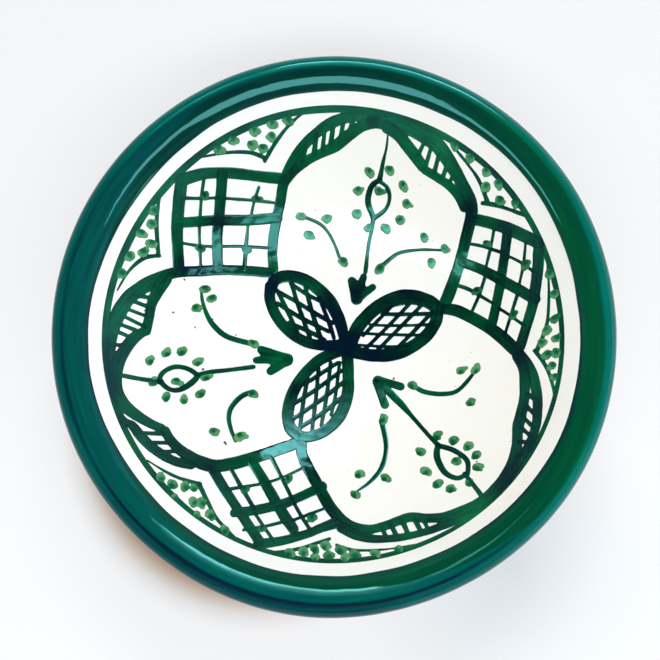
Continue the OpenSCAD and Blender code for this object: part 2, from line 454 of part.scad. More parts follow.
module almond_left() {
    painted(paint_dark) {
        lobe_marks(almond_left_broad, almond_left_fine);
        all_lobe_marks();
    }
}
module almond_right() {
    painted(paint_dark) {
        lobe_marks(almond_right_broad, almond_right_fine);
        all_lobe_marks();
        strokes(almond_left_broad, broad_w);
    }
}
module almond_low() {
    painted(paint_dark) {
        lobe_marks(almond_low_broad, almond_low_fine);
        all_lobe_marks();
        strokes(almond_left_broad, broad_w);
        strokes(almond_right_broad, broad_w);
    }
}

module check_panel_left() {
    painted(paint_dark) {
        check_marks(check_left_broad, check_left_fine, check_left_dabs);
        all_lobe_marks();
    }
}
module check_panel_right() {
    painted(paint_dark) {
        check_marks(check_right_broad, check_right_fine, check_right_dabs);
        all_lobe_marks();
    }
}
module check_panel_low() {
    painted(paint_dark) {
        check_marks(check_low_broad, check_low_fine, check_low_dabs);
        all_lobe_marks();
    }
}

module corner(fine, spots) {
    painted(paint_leaf) {
        union() {
            strokes(fine, fine_w);
            dabs(spots);
        }
        all_lobe_marks();
    }
}
module corner_top_left() {
    corner(corner_top_left_fine, corner_top_left_dabs);
}
module corner_left() {
    corner(corner_left_fine, corner_left_dabs);
}
module corner_top_right() {
    corner(corner_top_right_fine, corner_top_right_dabs);
}
module corner_right() {
    corner(corner_right_fine, corner_right_dabs);
}
module corner_low() {
    corner(corner_low_fine, corner_low_dabs);
}
module corner_low_left() {
    corner(corner_low_left_fine, corner_low_left_dabs);
}

module stem_top() {
    painted(paint_dark) {
        stem_marks(stem_top_fine, stem_top_head, eye_centres[0]);
        all_lobe_marks();
    }
}
module stem_left() {
    painted(paint_dark) {
        stem_marks(stem_left_fine, stem_left_head, eye_centres[1]);
        all_lobe_marks();
    }
}
module stem_right() {
    painted(paint_dark) {
        stem_marks(stem_right_fine, stem_right_head, eye_centres[2]);
        all_lobe_marks();
    }
}

module sprigs(fine, spots) {
    painted(paint_leaf) union() {
        strokes(fine, fine_w);
        dabs(spots);
    }
}
module sprigs_top() {
    sprigs(sprigs_top_fine, sprigs_top_dabs);
}
module sprigs_left() {
    sprigs(sprigs_left_fine, sprigs_left_dabs);
}
module sprigs_right() {
    sprigs(sprigs_right_fine, sprigs_right_dabs);
}

module eye_dots_top() {
    painted(paint_leaf) {
        dabs(eye_dots_top_dabs);
        stem_marks(stem_top_fine, stem_top_head, eye_centres[0]);
    }
}
module eye_dots_left() {
    painted(paint_leaf) {
        dabs(eye_dots_left_dabs);
        stem_marks(stem_left_fine, stem_left_head, eye_centres[1]);
    }
}
module eye_dots_right() {
    painted(paint_leaf) {
        dabs(eye_dots_right_dabs);
        stem_marks(stem_right_fine, stem_right_head, eye_centres[2]);
    }
}

clay_body();
white_glaze();
rim_glaze();
ring_line();
lobe_top();
lobe_left();
lobe_right();
almond_left();
almond_right();
almond_low();
check_panel_left();
check_panel_right();
check_panel_low();
corner_top_left();
corner_left();
corner_top_right();
corner_right();
corner_low();
corner_low_left();
stem_top();
stem_left();
stem_right();
sprigs_top();
sprigs_left();
sprigs_right();
eye_dots_top();
eye_dots_left();
eye_dots_right();
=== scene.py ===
# %% [markdown]
# # A hand painted ceramic plate
# The real object is a deep, footed dish. A potter throws it in red clay, coats the inside with white glaze,
# bands the lip with green glaze and paints three lobes, three almonds and three check panels with two soft
# brushes. After firing it is one hard piece, but each layer is still a layer: clay, glaze, brush colour.
# This lesson builds those layers in that order over the exact sizes of the engineering model, in metres.

# %% Load the measured frame
import math
import bpy
import numpy as np
from mathutils import Matrix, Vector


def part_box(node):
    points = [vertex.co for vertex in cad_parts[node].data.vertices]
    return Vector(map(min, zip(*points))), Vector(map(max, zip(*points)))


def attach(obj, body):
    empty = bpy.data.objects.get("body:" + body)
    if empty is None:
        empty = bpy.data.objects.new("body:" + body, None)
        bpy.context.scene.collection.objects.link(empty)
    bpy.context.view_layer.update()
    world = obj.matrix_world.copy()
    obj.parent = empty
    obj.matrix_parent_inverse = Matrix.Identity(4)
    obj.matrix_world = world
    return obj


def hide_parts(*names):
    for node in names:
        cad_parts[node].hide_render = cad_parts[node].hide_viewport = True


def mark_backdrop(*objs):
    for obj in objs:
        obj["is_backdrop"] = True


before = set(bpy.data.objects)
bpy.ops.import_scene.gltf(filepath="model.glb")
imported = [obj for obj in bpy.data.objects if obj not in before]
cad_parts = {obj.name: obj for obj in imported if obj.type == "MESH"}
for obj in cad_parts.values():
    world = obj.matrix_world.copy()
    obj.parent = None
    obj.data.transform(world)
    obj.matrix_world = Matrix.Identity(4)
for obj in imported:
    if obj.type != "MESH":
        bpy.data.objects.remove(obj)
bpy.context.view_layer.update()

# %% [markdown]
# ## Sizes
# The main sizes come from the frame, so that the looks follow the engineering model, and the rest are set
# here. All lengths below are in millimetres, because a potter thinks in them, and each mesh is scaled to
# metres when it is made.

# %% Sizes of the dish
MM = 0.001


def outermost(node):
    """Largest x and largest z of a node, in millimetres."""
    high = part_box(node)[1]
    return high[0] / MM, high[2] / MM


RIM_R, HEIGHT = outermost("rim_glaze")
JOIN_R = outermost("white_glaze")[0]
RING_R = outermost("ring_line")[0]
FOOT_R, FOOT_W, RECESS = 42.0, 6.0, 3.5
WALL, GLAZE, PAINT = 6.0, 0.4, 0.1
LIP_R, ROLL_R, THROAT_R = 4.3, 11.2, 5.0
FLOOR_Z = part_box("white_glaze")[0][2] / MM + GLAZE
CREST_R = RIM_R - LIP_R
ROLL_Z, LIP_Z = HEIGHT - ROLL_R, HEIGHT - LIP_R
JOIN_Z = ROLL_Z + math.sqrt(ROLL_R**2 - (CREST_R - JOIN_R) ** 2)
WELL_R = (JOIN_R**2 + (JOIN_Z - FLOOR_Z) ** 2) / (2 * (JOIN_Z - FLOOR_Z))
WELL_Z = FLOOR_Z + WELL_R
UNIT = RING_R / 100
print(f"rim radius {RIM_R:.2f}, height {HEIGHT:.2f}, ring line {RING_R:.2f}, well sphere {WELL_R:.2f}")

# %% [markdown]
# ## Small irregularities
# Nothing made by hand is exactly round or even. A smooth random field gives blotches and wavering edges. It
# could be a noise library's, but a small table blended between its points is enough, and its seed makes the
# dish come out the same each time.


# %% A smooth random field
def mottle(x, y, seed):
    """Smooth random field from -1 to 1: random values on a square lattice of pitch 1, blended inside each
    square with s = t * t * (3 - 2 * t) along both directions."""
    table = np.random.default_rng(seed).uniform(-1, 1, (64, 64))
    i, j = np.floor(x).astype(int), np.floor(y).astype(int)
    s, t = x - i, y - j
    s, t = s * s * (3 - 2 * s), t * t * (3 - 2 * t)

    def at(di, dj):
        return table[(i + di) % 64, (j + dj) % 64]

    return (at(0, 0) * (1 - s) + at(1, 0) * s) * (1 - t) + (at(0, 1) * (1 - s) + at(1, 1) * s) * t


def ease(x):
    """Goes from 0 to 1 while x goes from 0 to 1, by x * x * (3 - 2 * x)."""
    x = np.clip(x, 0, 1)
    return x * x * (3 - 2 * x)


print("mottle at three places:", np.round(mottle(np.array([0.3, 1.4, 2.5]), np.array([0.2, 0.2, 0.2]), 1), 2))

# %% [markdown]
# ## An uneven lip
# A wheel thrown lip is never a true circle. A few slow waves round the dish give that. They could be put
# into each piece by itself, but then the layers would drift apart, so one function moves every piece alike.


# %% Slow waves round the lip
def waves(theta, terms):
    """Sum over the terms (n, amplitude, phase in degrees) of amplitude * cos(n * theta - phase)."""
    return sum(a * np.cos(n * theta - np.radians(p)) for n, a, p in terms)


round_once = np.linspace(0, 2 * np.pi, 721)
RIM_WAVES = [(1, 0.09, -132), (2, 0.13, -138), (3, 0.05, -156), (4, 0.10, -86), (5, 0.10, -137),
             (6, 0.07, 154)]
BAND_WAVES = [(0, -0.45, 0), (1, 0.5, 3), (2, 0.21, 50), (3, 0.35, -118), (5, 0.33, -161)]
RING_WAVES = [(3, 0.37, -122), (5, 0.12, -143)]
RIM_SLACK = waves(round_once, RIM_WAVES).max()
SETTLE_FROM, SETTLE_OVER = 88.6, 9


def settle(points):
    """Takes an exactly round dish to the slightly uneven one. A point at radius r moves outwards by
    (waves(theta) - slack) * ease((r - from) / over), where slack keeps the lip inside its exact size."""
    x, y, z = points.T
    r, theta = np.hypot(x, y), np.arctan2(y, x)
    move = (waves(theta, RIM_WAVES) - RIM_SLACK) * ease((r - SETTLE_FROM) / SETTLE_OVER)
    grow = 1 + move / np.maximum(r, 1)
    return np.column_stack([x * grow, y * grow, z])


print(f"lip wanders over {np.ptp(waves(round_once, RIM_WAVES)):.2f} mm, slack {RIM_SLACK:.2f} mm")

# %% [markdown]
# ## From arrays to meshes
# Each piece is a closed skin of triangles. Blender could make it one face at a time, but whole arrays are
# far quicker. A helper puts points, faces and named values for each point into a mesh, and turns the whole
# skin over if its volume comes out negative, so that faces point outwards.


# %% Make a piece
PIECES = {}


def make_piece(name, points, triangles, values=None, sharp=None, slot=None, stands_for=()):
    """Makes a mesh object from points in millimetres and triangles, with one float attribute for each entry
    of values. Volume is the sum of a . (b x c) / 6 over the triangles."""
    a, b, c = (points[triangles[:, k]] for k in range(3))
    volume = np.einsum("ij,ij->i", a, np.cross(b, c)).sum() / 6
    if volume < 0:
        triangles = triangles[:, ::-1]
    mesh = bpy.data.meshes.new(name)
    mesh.vertices.add(len(points))
    mesh.vertices.foreach_set("co", (points * MM).astype(np.float32).ravel())
    mesh.loops.add(triangles.size)
    mesh.loops.foreach_set("vertex_index", triangles.astype(np.int32).ravel())
    mesh.polygons.add(len(triangles))
    mesh.polygons.foreach_set("loop_start", np.arange(0, triangles.size, 3, dtype=np.int32))
    mesh.update(calc_edges=True)
    mesh.validate()
    mesh.polygons.foreach_set("use_smooth", np.ones(len(mesh.polygons), bool))
    for key, value in (values or {}).items():
        kind = "FLOAT_VECTOR" if value.ndim == 2 else "FLOAT"
        layer = mesh.attributes.new(key, kind, "POINT")
        layer.data.foreach_set("vector" if value.ndim == 2 else "value", value.astype(np.float32).ravel())
    if sharp is not None:
        mark_sharp(mesh, sharp)
    piece = bpy.data.objects.new(name, mesh)
    bpy.context.scene.collection.objects.link(piece)
    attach(piece, "root")
    if stands_for:
        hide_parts(*stands_for)
    PIECES[name] = piece
    print(f"{name}: {len(triangles)} triangles, volume {abs(volume) / 1000:.2f} cubic cm")
    return piece


def mark_sharp(mesh, sharp):
    """Marks the edges between the point pairs in sharp, so that smooth shading stops at them."""
    pairs = np.zeros(len(mesh.edges) * 2, np.int64)
    mesh.edges.foreach_get("vertices", pairs)
    pairs = np.sort(pairs.reshape(-1, 2), axis=1)
    key = pairs[:, 0] * (1 << 31) + pairs[:, 1]
    wanted = np.sort(sharp, axis=1).astype(np.int64)
    layer = mesh.attributes.new("sharp_edge", "BOOLEAN", "EDGE")
    layer.data.foreach_set("value", np.isin(key, wanted[:, 0] * (1 << 31) + wanted[:, 1]))


print("helpers for pieces:", make_piece.__name__, mark_sharp.__name__)

# %% [markdown]
# ## Turned skins
# A turned piece is a section in the radius and height plane carried round the axis, which is what the wheel
# does to the clay. A screw modifier could do it, but a grid of our own can also change with the direction.


# %% Turn a section
def grid_triangles(rows, columns, wrap_rows):
    """Triangles of a grid whose columns close on themselves, and whose rows do too if wrap_rows. Point
    (i, j) has the number i * columns + j."""
    i = np.arange(rows if wrap_rows else rows - 1)[:, None]
    j = np.arange(columns)[None, :]
    up, over = (i + 1) % rows, (j + 1) % columns
    a, b, c, d = (q.ravel() for q in np.broadcast_arrays(
        i * columns + j, i * columns + over, up * columns + over, up * columns + j))
    return np.concatenate([np.column_stack([a, b, c]), np.column_stack([a, c, d])])


def turned(radius, height, theta):
    """Points (r cos theta, r sin theta, z) of a turned skin. Radius and height may change with theta."""
    shape = np.broadcast_shapes(radius.shape, (len(theta),))
    r, z = np.broadcast_to(radius, shape), np.broadcast_to(height, shape)
    return np.column_stack([(r * np.cos(theta)).ravel(), (r * np.sin(theta)).ravel(), z.ravel()])


def close_poles(points, triangles, rows, columns):
    """Adds the point on the axis at each end of a turned skin and the fan of triangles round it."""
    n, j = len(points), np.arange(columns)
    over = (j + 1) % columns
    last = (rows - 1) * columns
    first_z, last_z = points[:columns, 2].mean(), points[last:last + columns, 2].mean()
    points = np.vstack([points, [0, 0, first_z], [0, 0, last_z]])
    low = np.column_stack([np.full(columns, n), over, j])
    high = np.column_stack([np.full(columns, n + 1), last + j, last + over])
    return points, np.concatenate([triangles, low, high])


print("a ring of 3 rows and 8 columns has", len(grid_triangles(3, 8, False)), "triangles")

# %% [markdown]
# ## The shape of the glazed inside
# The white inside is part of a sphere, as a rib held against turning clay leaves it, and it meets the lip
# in a short outward roll. The fingers leave a very faint spiral under the glaze. Everything that lies on
# the inside, from glaze to the last dab of colour, takes its height from this one function.


# %% Height of the inside
def finger_spiral(r, theta):
    """A spiral ridge of pitch 3.6 mm and height 0.007 mm, on a slow unevenness of 0.04 mm, fading at the
    middle and at the lip."""
    fade = ease((r - 6) / 12) * ease((RING_R + 3 - r) / 6)
    slow = mottle(r * np.cos(theta) / 31 + 9, r * np.sin(theta) / 31 + 9, 11)
    return fade * (0.007 * np.cos(2 * np.pi * r / 3.6 - theta) + 0.04 * slow)


def inside_height(r, theta):
    """Height of the well's sphere up to the join, then of the roll's circle, which sinks 0.1 mm where the
    green glaze covers it."""
    sphere = WELL_Z - np.sqrt(WELL_R**2 - np.minimum(r, JOIN_R) ** 2)
    roll = ROLL_Z + np.sqrt(ROLL_R**2 - np.minimum(CREST_R - r, ROLL_R * 0.99) ** 2)
    under = 0.1 * ease((r - JOIN_R + 1.4) / 1.4)
    return np.where(r < JOIN_R, sphere, roll) - under + finger_spiral(r, theta)


def lean(r):
    """Cosine of the inside's slope at radius r: a layer of thickness t stands t / lean above it in height."""
    return np.sqrt(1 - (np.minimum(r, JOIN_R) / WELL_R) ** 2)


print("inside height at the middle, ring line and join:",
      np.round(inside_height(np.array([0.0, RING_R, JOIN_R]), np.zeros(3)), 2))

# %% [markdown]
# ## Clay body
# The clay shows on the outside, under the lip and on the foot. Its section follows the engineering model: a
# trimmed foot ring, a wall six millimetres thick, a hollow under the lip. Turning leaves shallow rings,
# which are added as a spiral of waves. A carved solid could do it too, but a turned grid keeps every ring
# clean.


# %% Section of the clay
def arc(centre, radius, start, end, count):
    """count points on a circle from the angle start to the angle end, in degrees."""
    a = np.radians(np.linspace(start, end, count))
    return np.column_stack([centre[0] + radius * np.cos(a), centre[1] + radius * np.sin(a)])


def circles_meet(a, ra, b, rb):
    """Where two circles cross, on the side away from the axis: along their centre line by
    (d * d + ra * ra - rb * rb) / 2 d, then square to it."""
    d = np.linalg.norm(b - a)
    along = (d * d + ra * ra - rb * rb) / (2 * d)
    u = (b - a) / d
    return a + u * along + np.array([u[1], -u[0]]) * math.sqrt(ra * ra - along * along)


def heading(a, b):
    """Angle in degrees of the line from a to b."""
    return math.degrees(math.atan2(b[1] - a[1], b[0] - a[0]))


LIP_C, WELL_C = np.array([CREST_R, LIP_Z]), np.array([0.0, WELL_Z])
OUTER_R = WELL_R + WALL
THROAT_C = circles_meet(WELL_C, OUTER_R + THROAT_R, LIP_C, LIP_R - GLAZE + THROAT_R)
LIP_LOW = heading(LIP_C, THROAT_C)
wall_low = -90 + math.degrees(math.asin(FOOT_R / OUTER_R))
wall_high = heading(WELL_C, THROAT_C)
roll_end = 90 + math.degrees(math.asin((CREST_R - JOIN_R) / ROLL_R))
foot_in = FOOT_R - FOOT_W
foot = np.array([[4, RECESS], [18, RECESS + 0.1], [30, RECESS], [foot_in - 0.7, RECESS - 0.1],
                 [foot_in - 0.1, RECESS - 0.5], [foot_in + 0.2, 1.2], [foot_in + 0.6, 0.3],
                 [foot_in + 1.2, 0.0], [FOOT_R - 3, 0.0], [FOOT_R - 1.0, 0.0], [FOOT_R - 0.3, 0.25],
                 [FOOT_R - 0.05, 0.9]])
wall_side = arc(WELL_C, OUTER_R, wall_low + 1.2, wall_high - 0.8, 90)
throat = arc(THROAT_C, THROAT_R, wall_high + 180 - 8, LIP_LOW + 180 + 8, 8)
under_lip = arc(LIP_C, LIP_R - GLAZE, LIP_LOW + 4, 90, 16)
roll_skin = arc([CREST_R, ROLL_Z], ROLL_R - GLAZE, 92, roll_end, 8)
inside_skin = arc(WELL_C, WELL_R + GLAZE + 0.02, -90 + math.degrees(math.asin(JOIN_R / WELL_R)), -88, 24)
section = np.vstack([foot, wall_side, throat, under_lip, roll_skin, inside_skin])
print("clay section:", len(section), "points")

# %% [markdown]
# ### Turning marks
# The potter trims the outside with a tool while the dish spins, which leaves a shallow groove that runs
# round and down like the thread of a screw. It is cut into the mesh, so that it shows at the edge of the
# shape too.


# %% Turn the clay body
def turning_marks(section, theta):
    """How far the outside stands in from its exact place: grooves of pitch 4.6 mm along the wall that drift
    with theta as a spiral does, deeper in some places than others, and none near the glazed lip."""
    z = section[:, 1][:, None]
    on_wall = np.zeros(len(section))
    on_wall[len(foot):len(foot) + len(wall_side)] = 1
    fade = on_wall[:, None] * ease((z - 1.5) / 3) * ease((LIP_Z - 8 - z) / 6)
    depth = 0.09 + 0.06 * mottle(z / 9 + 20, theta[None, :] * 1.5 + 20, 5)
    fine = 0.03 * np.cos(2 * np.pi * z / 1.3 - theta)
    return fade * (depth * (1 + np.cos(2 * np.pi * z / 4.6 - theta)) + fine + 0.03)


theta = np.linspace(0, 2 * np.pi, 480, endpoint=False)
dent = turning_marks(section, theta)
outward = section - WELL_C
outward /= np.linalg.norm(outward, axis=1)[:, None]
clay_r = section[:, 0][:, None] - dent * outward[:, 0][:, None]
clay_z = section[:, 1][:, None] - dent * outward[:, 1][:, None]
clay_points = turned(clay_r, clay_z, theta)
clay_faces = grid_triangles(*clay_r.shape, False)
clay_points, clay_faces = close_poles(clay_points, clay_faces, *clay_r.shape)
make_piece("clay_dish", settle(clay_points), clay_faces, slot="red_clay", stands_for=["clay_body"])

# %% [markdown]
# ## White glaze
# The white glaze is a thin glassy skin poured over the inside. Its face is the inside height worked out
# above, and a second face just below closes it. The rings are closer together near the lip, where it curves
# most.

# %% Pour the white glaze
face_r = np.concatenate([np.linspace(1.5, 84, 66), np.linspace(85, JOIN_R + 1.3, 7)])
back_r = np.linspace(JOIN_R + 1.2, 1.5, 16)
theta = np.linspace(0, 2 * np.pi, 540, endpoint=False)
face_z = inside_height(face_r[:, None], theta[None, :])
back_z = inside_height(back_r[:, None], theta[None, :] * 0) - (GLAZE - 0.06) / lean(back_r)[:, None]
glaze_z = np.vstack([face_z, back_z])
glaze_points = turned(np.concatenate([face_r, back_r])[:, None], glaze_z, theta)
glaze_faces = grid_triangles(*glaze_z.shape, False)
glaze_points, glaze_faces = close_poles(glaze_points, glaze_faces, *glaze_z.shape)
make_piece("white_glaze_skin", glaze_points, glaze_faces, slot="white_glaze", stands_for=["white_glaze"])

# %% [markdown]
# ## Green glaze on the lip
# The green glaze is banded on with a full brush while the dish turns. Its inner edge wavers a little, it
# stands up in a small bead there, it runs thinner over the crest and it stops unevenly under the lip. The
# band is a closed loop of points across the lip, worked out for each direction and carried round. Each
# point also keeps how far it is from the nearest edge, how dark its colour is, painted highlight and shade
# included, and how blue, a painted reflection, which the finish reads later.


# %% Shape of the green band
def band_section(theta, count):
    """Angles and circle of the band's outer face. It starts at the wavering inner edge on the roll's circle,
    reaches the crest, and goes on round the lip's circle to the uneven edge below. Returns the height of the
    circle's middle, its radius, the angle and the length run so far, each of shape (count, len(theta))."""
    wander = waves(theta, BAND_WAVES) + 0.12 * mottle(theta * 9, theta * 0, 21)
    start = 90 + np.degrees(np.arcsin((CREST_R - JOIN_R - wander) / ROLL_R))
    low = LIP_LOW + 25 + 5 * mottle(theta * 3, theta * 0 + 3, 22) + 3 * mottle(theta * 14, theta * 0, 23)
    share = np.linspace(0, 1, count)[:, None]
    inner = share < 0.5
    along = np.where(inner, share / 0.5, (share - 0.5) / 0.5)
    angle = np.where(inner, start + (90 - start) * ease(along) ** 0.8, 90 + (low - 90) * along)
    radius = np.where(inner, ROLL_R, LIP_R) * np.ones_like(angle)
    middle_z = np.where(inner, ROLL_Z, LIP_Z) * np.ones_like(angle)
    step = np.abs(np.diff(np.radians(angle), axis=0)) * radius[1:]
    run = np.vstack([np.zeros((1, len(theta))), np.cumsum(step, axis=0)])
    return middle_z, radius, angle, run


theta = np.linspace(0, 2 * np.pi, 900, endpoint=False)
middle_z, radius, angle, run = band_section(theta, 56)
to_edge = np.minimum(run, run[-1] - run)
drained = ease((np.cos(theta - 1.66) + 0.3) / 0.9)
bead = (0.06 + 0.3 * drained) * (1 - ease(run / 5.2)) * (1 - np.exp(-run / 0.22)) - 0.03 * np.exp(-run / 0.15)
lower_bead = -0.12 * np.exp(-(run[-1] - run) / 0.3)
ripple = 0.02 * mottle(theta[None, :] * 22, run / 4.2, 24)
face = radius + bead + lower_bead + (ripple - 0.04) * ease(run / 2) * ease((run[-1] - run) / 2)
back = radius - GLAZE
a = np.radians(angle)
loop_r = np.vstack([CREST_R + face * np.cos(a), (CREST_R + back * np.cos(a))[::-3]])
loop_z = np.vstack([middle_z + face * np.sin(a), (middle_z + back * np.sin(a))[::-3]])
# Inside the join the band lies on the well's sphere, which is lower than the roll's circle there.
in_well = np.minimum(loop_r, JOIN_R)
loop_z -= ROLL_Z + np.sqrt(ROLL_R**2 - (CREST_R - in_well) ** 2) - WELL_Z + np.sqrt(WELL_R**2 - in_well**2)
band_points = turned(loop_r, loop_z, theta)
print(f"green band: {run[-1].mean():.1f} mm across, edge wanders {np.ptp(waves(theta, BAND_WAVES)):.2f} mm")

# %% [markdown]
# ### How the band's colour changes round the dish
# The band's colour is set round the dish to look as the lip does under these lamps, so painted light is in
# it: "teal" turns the band blue where the glossy lip would mirror the pale room, a painted reflection. A
# picture of the band could hold that, but short lists of (direction in degrees, value), blended in between,
# are easier to read and to change. "tone" is how dark the colour is and "teal" how blue.

# %% Colour of the green band
def round_dish(stops):
    """Value at each direction, blended between the stops (direction, value) and joined up at 180 degrees."""
    at, value = zip(*stops)
    return np.interp(np.degrees(theta), at, value, period=360)[None, :]


slope_tone = round_dish([(-180, 0.55), (-150, 0.5), (-120, 0.45), (-90, 0.42), (-60, 0.4), (-30, 0.36),
                         (0, 0.3), (30, 0.42), (60, 0.58), (90, 0.68), (120, 0.74), (150, 0.6)])
# Crest line: a painted highlight, lighter, from +x round to +y, and a dark line from -x round to -y.
crest_line = round_dish([(-180, 0.24), (-150, 0.22), (-120, 0.6), (-90, 0.5), (-60, 0.3), (-30, 0), (0, -0.1),
                         (30, -0.15), (60, -0.3), (90, -0.35), (120, -0.3), (150, 0.12)])
# Partly painted shade and highlight: the outside of the lip is darker from -x round to -y, lighter towards
# +y.
outer_tone = round_dish([(-180, 0.5), (-150, 0.55), (-120, 0.85), (-90, 0.85), (-60, 0.5), (-30, 0.12),
                         (0, 0.12), (30, 0.02), (60, 0.05), (90, 0.05), (120, 0.1), (150, 0.42)])
# Painted reflection: beyond this run the band turns blue, as where the lip would mirror the pale room.
painted_sheen_from = round_dish([(-160, 0.8), (-150, 0.7), (-140, 2.0), (-130, 3.2), (-120, 4.2), (-100, 5.6),
                        (-70, 7.0), (-45, 8.8), (-30, 8.4), (0, 8.2), (45, 8.4), (90, 8.6), (120, 8.8),
                        (140, 6.0), (150, 3.5), (160, 1.6), (180, 0.9)])
inner_dark = round_dish([(-70, 0.05), (-45, 0.5), (-20, 0.5), (5, 0.4), (25, 0.05), (140, 0.1), (180, 0.35),
                         (-160, 0.3)])
pale_line = round_dish([(-180, 1), (-40, 1), (-20, 0), (150, 0)])
soft_edge = round_dish([(-60, 0.5), (-20, 2.4), (60, 2.4), (100, 0.5)])
dull_line = round_dish([(-175, 0), (-150, 1), (-30, 1), (-10, 0)])
print("directions round the band:", len(theta), "slope's tone:", slope_tone.min(), "to", slope_tone.max())

# %% [markdown]
# ### The band's values at each point
# Each point now gets its own values: darker at the inner edge, a thin line along the crest, dark from -x
# round to -y and a painted highlight from +x round to +y, a paler line beside it, darker again far down the
# outside of the lip, and faint hairs along the way the brush went. "grain" is a place in a stretched space,
# so that a noise read there comes out as long streaks.


# %% Give the band its colour values
crest_run = run[len(run) // 2 - 1]


def line_at(middle, width):
    """A soft line across the band: exp(-((run - crest - middle) / width) squared)."""
    return np.exp(-((run - crest_run - middle) / width) ** 2)


ring = np.stack([np.cos(theta), np.sin(theta)])
brush = mottle(ring[0] * 7 + run / 2.1, ring[1] * 7 + run / 1.7 + 30, 31)
hairs = mottle(ring[0] * 3 + 60 + run * 1.6, ring[1] * 3 + run * 1.9 + 30, 32)
outside = ease((run - crest_run + 1.0) / 1.2)
# Painted highlight and shade from the lists above go into this tone, with the brush's own blotches and hairs.
tone_and_painted_light = slope_tone * (1 - outside) + outer_tone * outside + 0.07 * brush + 0.07 * hairs
tone_and_painted_light += inner_dark * (1 - ease(run / 2.4))
tone_and_painted_light += 1.4 * crest_line * line_at(-0.5, 0.6) - 0.16 * pale_line * line_at(1.3, 0.5)
tone_and_painted_light += 0.3 * ease((run - crest_run - 5.0) / 1.5)
band_values = {
    "tone": tone_and_painted_light,
    # Painted reflection: blue where the lip would mirror the pale room.
    "teal": ease((run - painted_sheen_from - 0.3 * brush) / soft_edge),
    "dull": line_at(0.5, 1.3) * dull_line,
    "depth": to_edge,
    "grain": np.stack([5 * ring[0] + 0 * run, 5 * ring[1] + 0 * run, run / 1.2], axis=-1),
}
for key, value in band_values.items():
    both = np.vstack([value, value[::-3]])
    band_values[key] = both.reshape(-1, 3) if value.ndim == 3 else both.ravel()
make_piece("green_lip", settle(band_points), grid_triangles(*loop_r.shape, True), band_values,
           slot="green_glaze", stands_for=["rim_glaze"])

# %% [markdown]
# ## How the brushwork is made
# A loaded brush leaves a thin raised layer with round ends, soft corners where strokes cross, and darker
# colour where it pooled. Tubes or flat ribbons would overlap badly there. Instead each group of strokes is
# drawn as a field on a fine square lattice: the distance to the edge of the nearest stroke, negative
# inside. Joining strokes is then a smooth minimum. The line where the field is zero is found square by
# square, which gives clean edges, and the inside is lifted onto the glaze as a thin closed layer. COATS
# counts how many strokes cross at each point, over all groups.

# %% The lattice
LATTICE = 0.3
REACH = RING_R + 2.5
line = np.arange(-REACH, REACH + LATTICE, LATTICE)
GRID_X, GRID_Y = np.meshgrid(line, line, indexing="ij")
GRID_R, GRID_T = np.hypot(GRID_X, GRID_Y), np.arctan2(GRID_Y, GRID_X)
COATS = np.zeros_like(GRID_X)
print("lattice:", GRID_X.shape, "points", LATTICE, "mm apart")


def part_of_lattice(low, high, spare=1.3):
    """Slices of the lattice that hold the box from low to high, and spare millimetres round it."""
    start = np.clip(np.floor((np.array(low) - spare + REACH) / LATTICE).astype(int), 0, len(line))
    stop = np.clip(np.ceil((np.array(high) + spare + REACH) / LATTICE).astype(int) + 1, 0, len(line))
    return slice(start[0], stop[0]), slice(start[1], stop[1])


def new_layer():
    """An empty layer: gap is the distance to the nearest edge of colour, run and side say where along and
    across its stroke a point is, load is how much colour the brush held, and leaf is 1 for a leaf dab."""
    layer = {key: np.zeros_like(GRID_X) for key in ("run", "side", "load", "leaf", "core")}
    layer["gap"] = np.full_like(GRID_X, 9.0)
    return layer


def join_shape(layer, area, gap, coats=1.0, soft=0.25, **marks):
    """Joins a shape to a layer. With h = max(soft - |a - b|, 0) / soft the smooth minimum of gaps a and b is
    min(a, b) - h * h * soft / 4. The marks are kept where this shape lies on top."""
    old = layer["gap"][area]
    h = np.maximum(soft - np.abs(old - gap), 0) / soft
    on_top = (gap < 0) | (gap < old)
    layer["gap"][area] = np.minimum(old, gap) - h * h * soft / 4
    for key, value in marks.items():
        layer[key][area] = np.where(on_top, value, layer[key][area])
    COATS[area] += coats * np.clip(0.5 - gap / 0.4, 0, 1)


# %% [markdown]
# ## A stroke
# A stroke is a list of points seen from above, in hundredths of the ring line's radius, each with the share
# of the brush's width pressed down there. Straight pieces between them would look like wire, so a smooth
# curve runs through them, and both edges waver a little, as a hand does.


# %% Lay a stroke
def smooth_path(points, width, steps=5):
    """Catmull-Rom curve through the points. Between b and c, with neighbours a and d, it is half of
    2b + (c - a)t + (2a - 5b + 4c - d)tt + (3b - a - 3c + d)ttt. Returns x, y and half width in mm."""
    p = np.array([[q[0] * UNIT, q[1] * UNIT, (q[2] if len(q) > 2 else 1) * width / 2] for q in points])
    ends = np.vstack([p[:1], p, p[-1:]])
    a, b, c, d = ends[:-3, None], ends[1:-2, None], ends[2:-1, None], ends[3:, None]
    t = (np.arange(steps) / steps)[None, :, None]
    curve = 0.5 * (2 * b + (c - a) * t + (2 * a - 5 * b + 4 * c - d) * t**2 + (3 * b - a - 3 * c + d) * t**3)
    return np.vstack([curve.reshape(-1, 3), p[-1:]])


